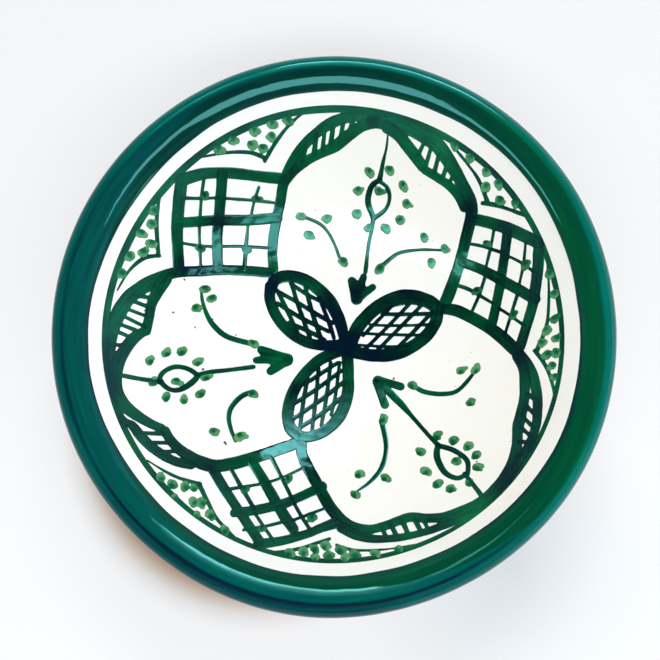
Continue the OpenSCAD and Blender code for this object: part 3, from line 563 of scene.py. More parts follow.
def lay_stroke(layer, points, width, seed, coats=1.0, spread=0.08, soft=0.25):
    """Joins one stroke. The gap at a point is its distance to the nearest piece of the path, less the half
    width there, with a slow waver on both edges. The wet colour spreads a little past the hairs."""
    path = smooth_path(points, width)
    half = path[:, 2].max()
    area = part_of_lattice(path[:, :2].min(0) - half, path[:, :2].max(0) + half)
    gap = np.full(GRID_X[area].shape, 9.0)
    run, side = np.zeros_like(gap), np.zeros_like(gap)
    travelled = 0.0
    for (ax, ay, wa), (bx, by, wb) in zip(path[:-1], path[1:]):
        dx, dy = bx - ax, by - ay
        length = math.hypot(dx, dy)
        if length < 1e-6:
            continue
        most = max(wa, wb)
        near = part_of_lattice((min(ax, bx) - most, min(ay, by) - most),
                               (max(ax, bx) + most, max(ay, by) + most))
        near = tuple(slice(n.start - s.start, n.stop - s.start) for n, s in zip(near, area))
        x, y = GRID_X[area][near] - ax, GRID_Y[area][near] - ay
        t = np.clip((x * dx + y * dy) / length**2, 0, 1)
        apart = np.hypot(x - t * dx, y - t * dy) - (wa + t * (wb - wa))
        closer = apart < gap[near]
        gap[near] = np.where(closer, apart, gap[near])
        run[near] = np.where(closer, travelled + t * length, run[near])
        side[near] = np.where(closer, (x * dy - y * dx) / length, side[near])
        travelled += length
    waver = 0.07 * mottle(run / 3.1 + seed, side / 2.5 + 7, 41)
    waver = waver + 0.03 * mottle(run / 0.9 + seed, side / 0.9, 42)
    dry = mottle(run / 9 + seed * 3.3, run * 0, 43)
    join_shape(layer, area, gap + waver - spread, coats, soft, run=run + seed * 17.3, side=side, load=dry,
               leaf=0.0, core=0.0)


print("a path of 3 points becomes", len(smooth_path([[0, 0], [5, 3], [9, 0]], 1)), "points")

# %% [markdown]
# ## A dab
# A dab is a touch of the brush tip. A plain oval would look stamped, so each is an oval with a smaller one
# beside it, turned and sized by chance, with a darker core where the drop of colour dried last.


# %% Lay a dab
def lay_dab(layer, dab, seed, leaf, dark_side):
    """Joins one dab [x, y, direction, share]: an oval with half lengths 1.9 and 1.5 mm and a smaller one
    beside it, with wavering edges. The core is strongest 0.75 mm towards dark_side and falls off with
    exp(-distance squared / 1.1)."""
    share = dab[3] if len(dab) > 3 else 1.0
    chance = np.random.default_rng(seed)
    x0, y0 = dab[0] * UNIT, dab[1] * UNIT
    area = part_of_lattice((x0 - 3, y0 - 3), (x0 + 3, y0 + 3))
    turn = math.radians(dab[2] + chance.uniform(-12, 12))
    x, y = GRID_X[area] - x0, GRID_Y[area] - y0
    u, v = x * math.cos(turn) + y * math.sin(turn), y * math.cos(turn) - x * math.sin(turn)
    long, wide = 1.9 * share, 1.5 * share
    gap = (np.hypot(u / long, v / wide) - 1) * wide
    side_x = chance.uniform(0.35, 0.75) * long
    side_y = chance.choice([-1, 1]) * chance.uniform(0.2, 0.5) * wide
    bump = (np.hypot((u - side_x) / 1.1, (v - side_y) / 0.95) - share) * 0.9
    h = np.maximum(0.5 - np.abs(gap - bump), 0) / 0.5
    gap = np.minimum(gap, bump) - h * h * 0.125
    gap = gap + 0.26 * mottle(x / 1.3 + seed, y / 1.3, 44) + 0.1 * mottle(x / 0.55 + seed, y / 0.55, 45)
    lean_to = math.radians(dark_side + chance.uniform(-40, 40))
    core = np.exp(-((x - 0.75 * math.cos(lean_to)) ** 2 + (y - 0.75 * math.sin(lean_to)) ** 2) / 1.1)
    strength = chance.uniform(0.55, 1.0)
    join_shape(layer, area, gap, 0.0, run=x * 0 + seed * 5.1, side=y, load=chance.uniform(-1, 1),
               leaf=leaf, core=core * strength)


print("a dab is kept within", [s.stop - s.start for s in part_of_lattice((-3, -3), (3, 3))], "lattice points")

# %% [markdown]
# ## The artist's strokes
# These are the strokes of each group, in the order they were painted. "broad" is the wide soft brush,
# "fine" the liner, "head" the arrow heads pressed down with the wide brush, and "dabs" are touches of the
# brush tip. "tone" is how dark the group's colour starts, "leaf" how far its dabs go from brush green to
# leaf green, and "dark_side" the direction in degrees in which its dabs dried darker.

# %% [markdown]
# ### The three lobes
# Three large lobes fill the well. Each outline is a few strokes of the wide brush, with a second line inside
# it near the rim and small hatches between the two. One closed line would be simpler, but the artist lifted
# the brush between strokes, and those overlaps show.

# %% The three lobes
BRUSHWORK = {
    "lobe_top": {
        "broad": [[[-29.3, 33], [-29.7, 40], [-29, 48], [-27.2, 56], [-25.4, 63], [-23.8, 70],
            [-20.5, 77.5, 0.9], [-15.5, 84, 0.9], [-9, 89.5, 0.85], [-1, 94, 0.9], [8, 96, 0.8],
            [17, 95.8, 0.8], [27, 93.5]], [[-24, 70.5], [-19, 75.5, 0.8], [-12, 80.3, 0.8], [-5, 83.3, 0.8],
            [1, 85.8], [7, 89.5], [13, 92.6, 0.9], [19, 93.8, 0.9]], [[17, 94], [28, 92.5], [35, 90, 1.1],
            [43.5, 85.2, 1.2], [48.2, 81.2, 1.2], [53, 74.8, 1.1], [58, 66.8], [62, 59, 1.1], [62.5, 53, 1.1],
            [61, 46, 1.1], [59.5, 39, 1.1], [57.3, 31, 1.1], [54.2, 22, 1.2], [51.5, 15.5, 1.2]], [[24, 91.8],
            [29, 88.7], [33, 84.5], [37, 80], [40.3, 75.8, 0.9]], [[41.5, 74.3, 0.7], [47, 70.8, 0.7],
            [52, 67.2, 0.7], [56.5, 62.5, 0.8], [59.8, 57.5]]],
        "fine": [[[-14.6, 80, 2], [-12.6, 86.5, 1.6]], [[-9.2, 82.5, 2], [-7.8, 90, 1.6]], [[-5.2, 84.5, 1.6],
            [-4, 91.5, 1.3]], [[-1.5, 86.5, 1.8], [0, 93, 1.6]], [[3, 88, 1.8], [4.6, 94.5, 1.5]],
            [[7.5, 91.5, 1.7], [9.3, 95.5, 1.5]], [[38.5, 80.5, 1.6], [40.8, 84.5, 1.3]], [[42, 76, 1.6],
            [43.7, 82, 1.3]], [[45.8, 73, 1.7], [47.3, 79, 1.4]], [[49.6, 70.5, 1.6], [51.5, 76, 1.3]],
            [[52.8, 68, 1.3], [54, 72, 1.1]]],
        "tone": 0.46,
    },
    "lobe_left": {
        "broad": [[[-31, 31.3], [-38, 31.6], [-46, 31.6], [-54, 31], [-62, 29.8], [-69, 28.8], [-75, 27],
            [-82, 22.7, 1.2], [-87.5, 18, 1.2], [-91, 14, 1.15], [-93.5, 9.2, 1.15], [-95.5, 3.5, 1.1],
            [-97, -4], [-97.5, -12], [-97.2, -20], [-96, -28], [-93.5, -35, 0.8], [-90, -40, 0.6],
            [-86.5, -42.3, 0.7], [-83.3, -46.2, 0.8], [-79, -50.8, 0.8], [-74.3, -54.5, 0.8],
            [-68.5, -57.7, 0.8], [-62, -59.3, 0.8]], [[-77, 24.5, 1.2], [-80.3, 18], [-82.3, 12.5, 0.85],
            [-83, 7.5, 0.8], [-83.8, 2.5, 0.8], [-84.3, 0, 0.8]], [[-84.8, 0.2, 0.8], [-88.3, -3],
            [-91.2, -8], [-93.6, -14.5], [-94.3, -21], [-93.3, -28], [-89.5, -34.3], [-84.5, -38.5, 0.9],
            [-79.5, -41.5, 0.8], [-75.8, -43.2, 0.8]], [[-74, -44.3, 0.8], [-71.5, -48.2, 0.8],
            [-68, -52, 0.9], [-63.5, -55.3], [-58, -58.3, 1.2], [-52, -59.7, 1.2], [-45, -58.7, 1.2],
            [-38, -56.7, 1.2], [-31, -54.3, 1.2], [-24, -51.8, 1.2], [-17, -49.3, 1.2]]],
        "fine": [[[-88.8, 15.5, 1.5], [-83, 15.4, 1.4]], [[-89.5, 13, 1.3], [-83.5, 11.2, 1.4]],
            [[-91.5, 9.2, 1.2], [-83.5, 6.7, 1.2]], [[-93, 6, 1.2], [-84.5, 2, 1.3]], [[-94.5, 2.3, 1.2],
            [-88.5, 0.3, 1.4]], [[-95.5, -1, 1.2], [-91, -2.8, 1.3]], [[-96.5, -7.5, 1.2], [-92.5, -7, 1.4]],
            [[-83.5, -45.6, 1.2], [-74.5, -45.8, 1.5]], [[-80, -49.7, 1.2], [-71.5, -49.7, 1.4]],
            [[-76, -53.6, 1.2], [-68, -53.4, 1.3]]],
        "tone": 0.64,
    },
    "lobe_right": {
        "broad": [[[50.5, 13.5, 1.1], [56, 12.3, 1.15], [61, 9.7, 1.15], [66, 6.6, 1.15], [71, 2.8, 1.15],
            [75.5, -1.5, 1.15], [79.5, -6.2, 1.15], [82.8, -10.5], [85.5, -15, 0.9], [87.3, -20, 0.85],
            [88.2, -27, 0.8], [88.1, -34, 0.75], [87, -41, 0.7], [84.7, -47.5, 0.7], [81.5, -53.5, 0.7],
            [77.5, -59.8, 0.9]], [[82, -11], [84, -17, 0.9], [84, -24, 0.85], [83.2, -31, 0.8],
            [81.5, -37.5, 0.9], [80, -43, 0.9], [79, -50, 0.8], [77, -57, 0.9], [73.5, -64, 1.1],
            [68.3, -70, 1.1], [62, -74.8], [55, -78, 0.9], [48, -80.4, 0.8], [41, -81.2, 0.8], [34, -81, 0.8],
            [28, -82.8, 0.75], [22, -85, 0.75], [16, -86.3, 0.8], [10, -86], [5.5, -84, 1.1], [2, -81, 1.1],
            [-1.5, -77, 1.1], [-5, -71.5, 1.1], [-8.5, -65.5, 1.1], [-11.8, -60, 1.1], [-14.5, -54.5, 1.1],
            [-15, -50, 1.1]], [[4, -85.5], [10, -88.3, 0.9], [16, -89.8, 0.7], [23, -89.8, 0.6],
            [30, -88.9, 0.6], [37, -87.3, 0.55], [44, -85, 0.6], [51, -82, 0.7], [58, -78.5, 0.8]]],
        "fine": [[[85, -28, 1.3], [87.5, -31, 1.2]], [[83.5, -32.5, 1.4], [87, -37.5, 1.3]],
            [[81.8, -37, 1.3], [86, -43, 1.2]], [[80.5, -41.5, 1.4], [84.5, -46.5, 1.2]], [[80, -48.5, 1.3],
            [83.3, -49, 1.3]], [[78.5, -55, 1.2], [80.5, -54, 1.2]], [[21.5, -85.5, 1.7], [23, -89, 1.5]],
            [[25.2, -84, 1.8], [27.5, -88.5, 1.6]], [[30, -82, 1.8], [32.5, -88, 1.6]], [[35.5, -82, 1.7],
            [38, -87, 1.5]], [[39, -82, 1.4], [41, -86, 1.2]]],
        "tone": 0.66,
    },
}
print("groups of brushwork:", len(BRUSHWORK))

# %% [markdown]
# ### The three almonds
# Three almonds meet in the middle of the dish. Each has one wide stroke down either side and a net of four
# thin lines each way inside. A net by rule would be too even, so each line has its own list.

# %% The three almonds
BRUSHWORK |= {
    "almond_left": {
        "broad": [[[-30, 23.5], [-28.7, 28, 1.2], [-23, 30, 1.2], [-16, 29, 1.25], [-9, 25, 1.3],
            [-3, 19, 1.35], [1, 12, 1.3], [3.4, 5, 1.2], [4.5, -1]], [[-30.8, 25, 1.1], [-31, 19, 1.1],
            [-29, 13, 1.1], [-25.5, 7.5, 1.1], [-21, 3, 1.1], [-15, -0.7, 1.1], [-8, -2.6, 1.1],
            [0, -2.8, 1.2], [5, -2, 1.2]]],
        "fine": [[[-21, 26.5, 1.5], [-14, 21.9, 1.6], [-6, 18, 1.5]], [[-28, 23, 1.6], [-19, 18.3, 1.6],
            [-7, 11.2, 1.7], [-1, 8, 1.5]], [[-27.5, 17, 1.6], [-17, 10.8, 1.7], [-3, 4, 1.6]],
            [[-22, 8, 1.6], [-11, 3.2, 1.7], [-5, 0, 1.6]], [[-27.5, 23, 1.5], [-22.5, 13, 1.7],
            [-18, 3.5, 1.5]], [[-21.3, 28, 1.5], [-17, 14.5, 1.7], [-12, 1, 1.6]], [[-14.5, 26, 1.5],
            [-10.5, 11.5, 1.8], [-6, -1, 1.6]], [[-7.5, 20, 1.5], [-3, 8.5, 1.7], [-0.5, 1, 1.5]]],
        "tone": 0.72,
    },
    "almond_right": {
        "broad": [[[7.5, -2, 1.3], [11, 6, 1.4], [17, 12.8, 1.4], [24, 17.3, 1.5], [32, 19.6, 1.6],
            [39, 19, 1.5], [45, 16.5, 1.4], [49, 12.8, 1.2]], [[48.3, 13, 1.2], [47.3, 7, 1.2],
            [43.5, 1.5, 1.3], [37.5, -3.3, 1.3], [30, -6.8, 1.35], [22, -7.8, 1.35], [14, -7.1, 1.3],
            [7, -5.5, 1.3]]],
        "fine": [[[23, 12, 1.5], [35, 11.5, 1.5], [46, 11.3, 1.5]], [[17, 7, 1.1], [30, 6.3, 1.1],
            [45, 6.2, 1.1]], [[13, 3, 1.1], [27, 2.1, 1.1], [43, 1.3, 1.1]], [[10, -2.5, 1.1],
            [25, -3.6, 1.1], [35, -3.4, 1.1]], [[13.5, 2, 1.4], [19.5, 8, 1.4], [27, 15.5, 1.4]],
            [[14.5, -4.5, 1.4], [24, 4.8, 1.5], [35, 16, 1.4]], [[20.5, -5, 1.4], [30, 4.5, 1.5],
            [41.5, 16, 1.4]], [[28, -6, 1.4], [38, 4, 1.5], [46, 12, 1.4]]],
        "tone": 0.76,
    },
    "almond_low": {
        "broad": [[[2, -5.5, 1.2], [-6, -9, 1.2], [-12, -14, 1.2], [-17, -20.5, 1.2], [-20.2, -27.5, 1.2],
            [-21.7, -35, 1.2], [-20.5, -42, 1.2], [-16, -46.2, 1.2]], [[6, -6, 1.2], [6.2, -13, 1.2],
            [6.4, -20, 1.2], [6, -27, 1.25], [3.8, -34, 1.25], [0, -40, 1.2], [-6, -44.7, 1.1],
            [-12, -46.5, 1.1], [-17, -46, 1.1]]],
        "fine": [[[-14.5, -21.7, 1.5], [-3, -14, 1.6], [1.5, -11, 1.5]], [[-19, -30.8, 1.6],
            [-8.5, -23.8, 1.7], [3, -15, 1.5]], [[-19, -38, 1.6], [-6.2, -28.8, 1.7], [4, -20.5, 1.5]],
            [[-17, -43, 1.5], [-5, -34.8, 1.7], [3, -28, 1.5]], [[-12.8, -19, 1.5], [-14.4, -28, 1.6],
            [-16, -43, 1.5]], [[-7.7, -14, 1.4], [-8.7, -27, 1.5], [-10.3, -44, 1.4]], [[-2, -11, 1.4],
            [-3.6, -26, 1.5], [-6, -41, 1.4]], [[2.3, -11, 1.3], [0.4, -27, 1.3], [-1.5, -36, 1.3]]],
        "tone": 0.6,
    },
}
print("groups of brushwork:", len(BRUSHWORK))

# %% [markdown]
# ### The checkered squares
# Between two lobes sits a checkered square. Wide strokes make its outer sides and cross it once each way, and
# the liner crosses each quarter again, with a dab where its lines meet. A tiled pattern could do it, but no
# two of the artist's squares have the same sides.

# %% The checkered squares
BRUSHWORK |= {
    "check_panel_left": {
        "broad": [[[-68.5, 67], [-60, 70.7, 0.9], [-52, 72.4, 0.9], [-44, 73, 0.95], [-36, 72.8, 0.95],
            [-24, 72.5]], [[-67.8, 67.5], [-69.5, 60, 1.05], [-70.7, 52, 1.05], [-71.4, 45, 1.05],
            [-71.4, 38], [-71.2, 29]], [[-50.8, 72], [-52.5, 60], [-54, 50], [-54.6, 43], [-54.5, 32]],
            [[-70, 49.8, 0.9], [-55, 52.8, 0.95], [-40, 54.3], [-27, 56]]],
        "fine": [[[-58.5, 70], [-60.3, 62], [-61.7, 52]], [[-68, 60.2], [-61, 61.1], [-53, 62.4]],
            [[-35, 68.3], [-37.5, 62], [-39.3, 55]], [[-51, 62.5], [-38, 62.8], [-27, 62.4]], [[-62, 50],
            [-62.2, 42], [-62, 32]], [[-70, 41.3], [-63, 41], [-55, 41.3]], [[-40.5, 53], [-41.7, 43, 1.4],
            [-42.8, 32, 1.5]], [[-53, 41.7], [-44, 42.5], [-30, 42.6]]],
        "dabs": [[-58.8, 62.5, 20, 0.9], [-36.3, 63.5, -10, 0.95], [-62.3, 40, 15, 0.95], [-41.5, 41, 0]],
        "leaf": 0.35,
        "tone": 0.5,
    },
    "check_panel_right": {
        "broad": [[[63, 52], [68, 50.2], [74, 47.6], [80, 44.3], [90, 37.5]], [[90, 37.5, 0.9], [90, 28, 0.9],
            [89, 17, 0.9], [87.8, 10, 0.85], [85.3, 1, 0.85], [82.8, -7, 0.9]], [[77.7, 44, 0.85],
            [77, 35, 0.85], [75.3, 22, 0.85], [73.5, 12, 0.85], [71.5, 3, 0.9]], [[59, 33.8, 0.9],
            [65, 31, 0.9], [70, 28, 0.9], [77, 23, 0.95], [83, 18.5, 0.95], [89, 13.5, 0.9]]],
        "fine": [[[72.4, 47], [71.2, 39], [69.3, 30]], [[61, 41.8], [67, 40], [76, 35.8]], [[85, 40, 0.8],
            [84.5, 30, 0.8], [82.8, 20, 0.8]], [[78, 34.2, 0.8], [83.5, 30.4, 0.8], [88.5, 25.5, 0.8]],
            [[69.2, 26.5, 1.2], [66.5, 18], [63, 10]], [[57, 23.6, 1.2], [63, 20.8, 1.2], [72.5, 13.8]],
            [[82.2, 16.5], [80, 9], [77, -1]], [[75, 11.3], [79, 8], [85, 2.4]]],
        "dabs": [[69.5, 40.7, -20, 0.8], [85, 29, 80], [65.2, 20.3, 30, 0.9], [80.5, 7.5, 75, 0.9]],
        "leaf": 0.35,
        "tone": 0.6,
    },
    "check_panel_low": {
        "broad": [[[-53.5, -60.5, 0.9], [-49, -67.3, 0.85], [-44, -74, 0.8], [-39, -80.5, 0.8],
            [-30.5, -91, 0.85]], [[-31, -92, 0.85], [-24, -91.3, 0.75], [-17, -90, 0.75], [-10, -88, 0.75],
            [-5, -86, 0.8], [1, -84]], [[-36.5, -58, 0.9], [-32, -64.5, 0.9], [-28.5, -70, 0.95],
            [-21.3, -80.5], [-16.5, -86.5, 0.9]], [[-42, -79.5, 0.8], [-35, -78.8, 0.85], [-28, -77.5, 0.9],
            [-21, -75.8, 0.9], [-15, -73.3, 0.85], [-5, -68.8]]],
        "fine": [[[-45.5, -61, 1.3], [-41, -68, 1.3], [-34, -78, 1.3]], [[-47.5, -70], [-40, -68.9],
            [-29, -67.1]], [[-28.5, -55.5, 1.3], [-24.5, -62.5, 1.3], [-18, -74, 1.3]], [[-29.5, -67],
            [-22, -64.5], [-13, -60]], [[-33.5, -80], [-29.5, -85], [-24.5, -91]], [[-37.5, -86.4],
            [-28, -85], [-19.5, -83]], [[-17, -76, 1.2], [-13, -82, 1.2], [-9, -87.2, 1.2]], [[-17.5, -83],
            [-11, -80.7], [-2.5, -77.6]]],
        "dabs": [[-38.5, -70, 40, 0.8], [-20.3, -65.5, 50, 0.95], [-30, -86, 10, 0.8], [-9, -82.3, 0, 0.95]],
        "leaf": 0.35,
        "tone": 0.56,
    },
}
print("groups of brushwork:", len(BRUSHWORK))

# %% [markdown]
# ### The dotted corners
# The spaces left at the ring line are closed off by thin curved lines and filled with dabs of leaf green.
# Dabs spread by chance would touch or leave gaps, so each has its own place.

# %% The dotted corners
BRUSHWORK |= {
    "corner_top_left": {
        "fine": [[[-60, 77, 0.5], [-50, 80, 0.8], [-43, 81.3], [-37, 81.5, 1.2], [-31.3, 80, 1.4]],
            [[-31.8, 79, 1.3], [-27, 85.5, 1.2], [-22, 91], [-17, 95, 0.8], [-12, 98, 0.7]]],
        "dabs": [[-51.5, 81, 20], [-45.5, 85.3, 25], [-37, 84.3, 10], [-35.5, 89.3, 15], [-27.5, 92.6, 0],
            [-28.3, 88, 0], [-32, 83.6, 20], [-20.5, 94.3, 10]],
        "dark_side": 90,
    },
    "corner_left": {
        "fine": [[[-77.3, 60], [-78.8, 52, 1.1], [-79.5, 45, 1.2], [-79.3, 34.5, 1.4]], [[-79, 34.5, 1.3],
            [-84, 33, 1.2], [-88, 29.5], [-91.5, 24.5, 0.7], [-95, 16.8, 0.4]]],
        "dabs": [[-80.5, 53, 60], [-81.5, 47.2, 40], [-85.5, 42.7, 30], [-81.8, 39.2, 30], [-85, 34.8, 50],
            [-90.3, 32, 50], [-93.5, 24, 60]],
        "dark_side": 60,
    },
    "corner_top_right": {
        "fine": [[[50, 85.5, 0.4], [54, 80.8, 0.6], [60, 73.8, 0.7], [65, 67, 0.9], [69, 58, 1.4]],
            [[67, 57.8, 1.2], [71, 56.6, 1.3], [76, 54.3], [82, 51], [88, 47.4]]],
        "dabs": [[54, 81.7, -40], [60.8, 76.2, -45], [67.8, 69.7, -50], [67.8, 63.8, -60], [73.2, 64, -50],
            [74.2, 57.5, -60], [80.3, 55.5, -60]],
        "dark_side": 60,
    },
    "corner_right": {
        "fine": [[[93.2, 29, 0.4], [94, 20, 0.6], [94, 10, 0.8], [93, 1], [89.3, -9, 1.4]], [[88.5, -9, 1.3],
            [91.5, -14.5, 1.2], [93.3, -20], [94.5, -28, 0.9], [94.3, -37.5, 0.7]]],
        "dabs": [[94.3, 23.7, -70], [96.3, 14.8, 70, 0.9], [96.3, 4.2, 75, 0.9], [93.2, -0.8, 80],
            [91.3, -6, 60], [96.2, -4.5, 75, 0.9], [92.7, -11.3, 60], [96.4, -11, 75, 0.9],
            [94.2, -16.5, 65, 0.9], [94.8, -21.2, 60, 0.8]],
        "dark_side": 80,
    },
    "corner_low": {
        "fine": [[[-27, -95.5, 0.8], [-18, -94.7, 0.9], [-12, -93.5], [-6, -91.7], [-1, -90.2]],
            [[2, -92.5, 0.8], [7, -94, 0.8], [14, -94.4, 0.7], [25, -93.5, 0.5], [38, -91, 0.4]]],
        "dabs": [[-17.5, -95.7, -25], [-12, -95, -15], [-7, -97.5, -10, 0.9], [-7.5, -93.9, -20, 0.9],
            [-2.8, -92.6, -20], [-1.2, -96.5, -10], [3.5, -94.5, -20], [5.8, -97.4, 5, 0.9], [9.8, -95.8, -5],
            [18.3, -95.4, 0, 0.9], [28, -93.6, 20, 0.8]],
        "dark_side": -100,
    },
    "corner_low_left": {
        "fine": [[[-79, -57.3, 0.4], [-72, -61.8, 0.7], [-66, -64.8], [-57.5, -67.5, 1.4]],
            [[-58, -67.3, 1.4], [-54, -74, 1.2], [-49.5, -81, 1.1], [-45, -85.5, 0.9], [-41, -89, 0.7]]],
        "dabs": [[-73.2, -64.3, -50], [-68.3, -67.3, -50], [-63.3, -68.2, -60], [-59.8, -69, -50, 0.8],
            [-66.5, -73, -50, 0.9], [-59.3, -74.7, -50], [-56, -75, -50], [-57, -80, -40, 0.8],
            [-51.8, -80, -45], [-45.2, -86.2, -45]],
        "dark_side": -60,
    },
}
print("groups of brushwork:", len(BRUSHWORK))

# %% [markdown]
# ### Stems, sprigs and dots
# Inside each lobe a stem carries an eye and ends in an arrow head, with sprigs beside it and dots round the
# eye. One copied three times would look stamped, and the artist's differ, so each has its own lists.

# %% Stems, sprigs and dots
BRUSHWORK |= {
    "stem_top": {
        "fine": [[[24.7, 90, 0.5], [24, 84, 0.8], [22.8, 79.5, 1.2], [21.2, 72.5, 2]], [[21.3, 72, 1.6],
            [17.8, 70, 2], [16, 66, 2.2], [16, 62, 2.2], [18.5, 56, 2]], [[21, 71.5, 1.2], [24.8, 68.5, 1.3],
            [25.8, 64, 1.4], [23.8, 59.5, 1.4], [18.5, 56, 1.6]], [[18.3, 56, 1.8], [17.3, 50, 1.4],
            [16, 44, 1.3], [14.6, 32, 1.6]]],
        "head": [[[8, 28, 0.8], [9.8, 19, 0.7]], [[13.7, 29.7, 0.65], [10.6, 19.5, 0.7]], [[18, 24.8, 0.65],
            [11.2, 19.8, 0.7]]],
        "dabs": [[21, 67.3, -30]],
        "leaf": 0.8,
    },
    "stem_left": {
        "fine": [[[-93, -20.4, 1.5], [-85, -21.7, 1.6], [-77.5, -22.4, 2]], [[-78.3, -22.3, 1.6],
            [-77, -18.3, 1.7], [-72.5, -15.3, 1.7], [-67, -15.8, 1.7], [-62.5, -18.6, 1.8]], [[-78, -22, 1.6],
            [-74, -25.6, 1.7], [-69.5, -25.6, 1.8], [-65, -22.2, 2.2], [-62.3, -18.6, 1.8]],
            [[-62.5, -18.5, 1.8], [-57, -16.8, 1.7], [-50, -15.7, 1.5], [-38.3, -13.7, 1.6]]],
        "head": [[[-34.8, -5.4, 0.8], [-22.3, -8.9, 0.7]], [[-37, -10.5, 0.65], [-22.5, -9.9, 0.7]],
            [[-30.2, -15.5, 0.8], [-22.6, -10.8, 0.7]]],
        "dabs": [[-71.2, -22, 10]],
        "leaf": 0.8,
    },
    "stem_right": {
        "fine": [[[64.5, -74, 1.6], [62.5, -70, 1.6], [57.5, -62.5, 1.3]], [[47, -50, 2], [46.3, -55.5, 2.2],
            [49.3, -62, 2], [54.5, -64.4, 1.6], [58.8, -62, 1.3]], [[47, -50.3, 1.6], [53.5, -52.3, 1.8],
            [58.8, -56.7, 1.8], [58.7, -62.4, 1.4]], [[47.3, -50.3, 1.8], [43, -45.5, 1.5], [36, -37, 1.6],
            [31, -31, 2.6], [22, -21.5, 3]]],
        "head": [[[31, -22.8, 0.75], [20.5, -19.3, 0.7]], [[23.6, -31.3, 0.8], [20, -20.8, 0.7]]],
        "dabs": [[54.3, -57.3, 15]],
        "leaf": 0.8,
    },
    "sprigs_top": {
        "fine": [[[-14, 56.8, 1.2], [-7, 54, 1.2], [-3, 50, 1.1], [0, 44.5, 1.1], [2.5, 38, 1.1]],
            [[21.5, 33.5, 1.8], [26, 37.5, 1.5], [31, 40.3, 1.3], [40, 41], [50, 40, 0.9]]],
        "dabs": [[-16, 57, 0], [-3.8, 56.2, -10, 1.1], [-12.3, 49, -10, 1.15], [4, 37, -30, 1.15],
            [51.3, 40.5, -50], [42, 46.3, -50], [45.5, 34.8, -60, 1.1], [21.3, 33, 40, 1.2]],
        "dark_side": 90,
    },
    "sprigs_left": {
        "fine": [[[-62, 21, 0.8], [-61.3, 15.5, 1.2], [-59, 9, 1.7], [-55.5, 4, 2], [-50, 0, 2.1],
            [-39.5, -2.6, 2]], [[-38, -25.6, 2], [-43, -27.7, 2], [-47.3, -33, 1.8], [-48.2, -38, 1.6],
            [-46.8, -43.5, 1.4], [-44.5, -48.5, 1.2]]],
        "dabs": [[-60.5, 21.8, 20], [-57.5, 17.5, 15], [-64, 12.5, 10, 1.05], [-38.5, -2.7, -20, 1.1],
            [-38, -26.6, 10], [-54, -44.5, -10], [-42.5, -46.5, 15, 1.2]],
        "dark_side": 100,
    },
    "sprigs_right": {
        "fine": [[[37.5, -23, 1.8], [42, -25.5, 1.8], [50, -26.7, 1.6], [57, -25, 1.5], [64.5, -16.5, 1]],
            [[22, -39, 2], [23.3, -45, 1.8], [23.9, -52, 1.7], [21.8, -60, 1.6], [16.5, -66.5, 1.2],
            [10, -71, 0.5]]],
        "dabs": [[36.5, -22.3, 10, 1.1], [58.5, -16, 10, 1.05], [64.5, -16, 50, 1.1], [61.7, -31, 15, 1.05],
            [23, -38.3, 60, 1.1], [11.7, -63.2, 0, 1.05], [23.3, -64.7, -15], [9.8, -72, -10]],
        "dark_side": -120,
    },
    "eye_dots_top": {
        "dabs": [[16.3, 75.2, -20, 1.1], [25.5, 75.6, -25, 1.05], [11, 68, -20, 1.05], [10.5, 58.3, -20, 1.1],
            [16.2, 51.8, -20, 1.1], [24, 51.5, -25, 1.15], [30.7, 54.7, -40, 1.1], [33.7, 61.3, -45, 1.05],
            [32, 68.8, -35, 1.1]],
        "dark_side": 90,
    },
    "eye_dots_left": {
        "dabs": [[-82.3, -13, 80], [-76, -9, 70], [-70, -8, 60, 1.05], [-63, -12.5, 10, 1.05],
            [-59, -19.3, 15, 1.1], [-61.3, -27.5, 60], [-67.8, -30.2, 70, 0.95], [-74.7, -29.3, 60, 0.95],
            [-80.3, -22.5, 80]],
        "dark_side": -60,
    },
    "eye_dots_right": {
        "dabs": [[46.7, -46, 60, 1.05], [53.5, -48, 30, 1.05], [59.7, -50.5, 35, 1.05], [62.8, -54.5, 25],
            [63, -59.7, 20], [58.8, -66, 30, 0.9], [51, -68.7, 20, 0.95], [46, -67, 10],
            [41, -61.5, -15, 1.05], [39, -53, -35, 1.05]],
        "dark_side": -100,
    },
}
print("groups of brushwork:", len(BRUSHWORK))

# %% [markdown]
# ## Drying and pooling
# Colour gathers where strokes meet and runs thin where the brush was lifted. The list says where the
# artist's brush left a pool (positive) or a thin place (negative): x, y, radius and how much darker.

# %% Pools and thin places
POOLS = [
    [4, -1, 9, 0.5], [-4, 13, 8, 0.35], [-28, 27, 6, 0.2], [-54, 52, 5, 0.35], [-68, 31, 7, 0.3],
    [9, 22, 6, 0.4], [33, 19, 10, 0.15], [22, -8, 9, 0.25], [62, 55, 6, 0.3], [-80, -30, 7, 0.2],
    [-54, -58, 7, 0.2], [78, -8, 8, 0.2], [-20, -25, 8, 0.2], [46, 86, 12, -0.22], [-86, 5, 9, -0.25],
    [58, -80, 11, -0.3], [-40, 73, 10, -0.12], [-28, -44, 8, 0.15], [18, 70, 6, 0.15], [-73, -22, 6, 0.1],
    [50, -57, 8, 0.1], [10, 93, 8, -0.15], [-16, 86, 8, -0.1], [88, -25, 8, -0.15], [30, -88, 14, -0.2],
    [10, -80, 8, -0.12], [-76, 66, 6, -0.05],
]


def pooled(x, y):
    """Sum over the pools of strength * exp(-(distance / radius) squared)."""
    total = 0
    for px, py, r, strength in POOLS:
        apart = np.hypot(x - px * UNIT, y - py * UNIT)
        total = total + strength * np.exp(-((apart / (r * UNIT)) ** 2))
    return total


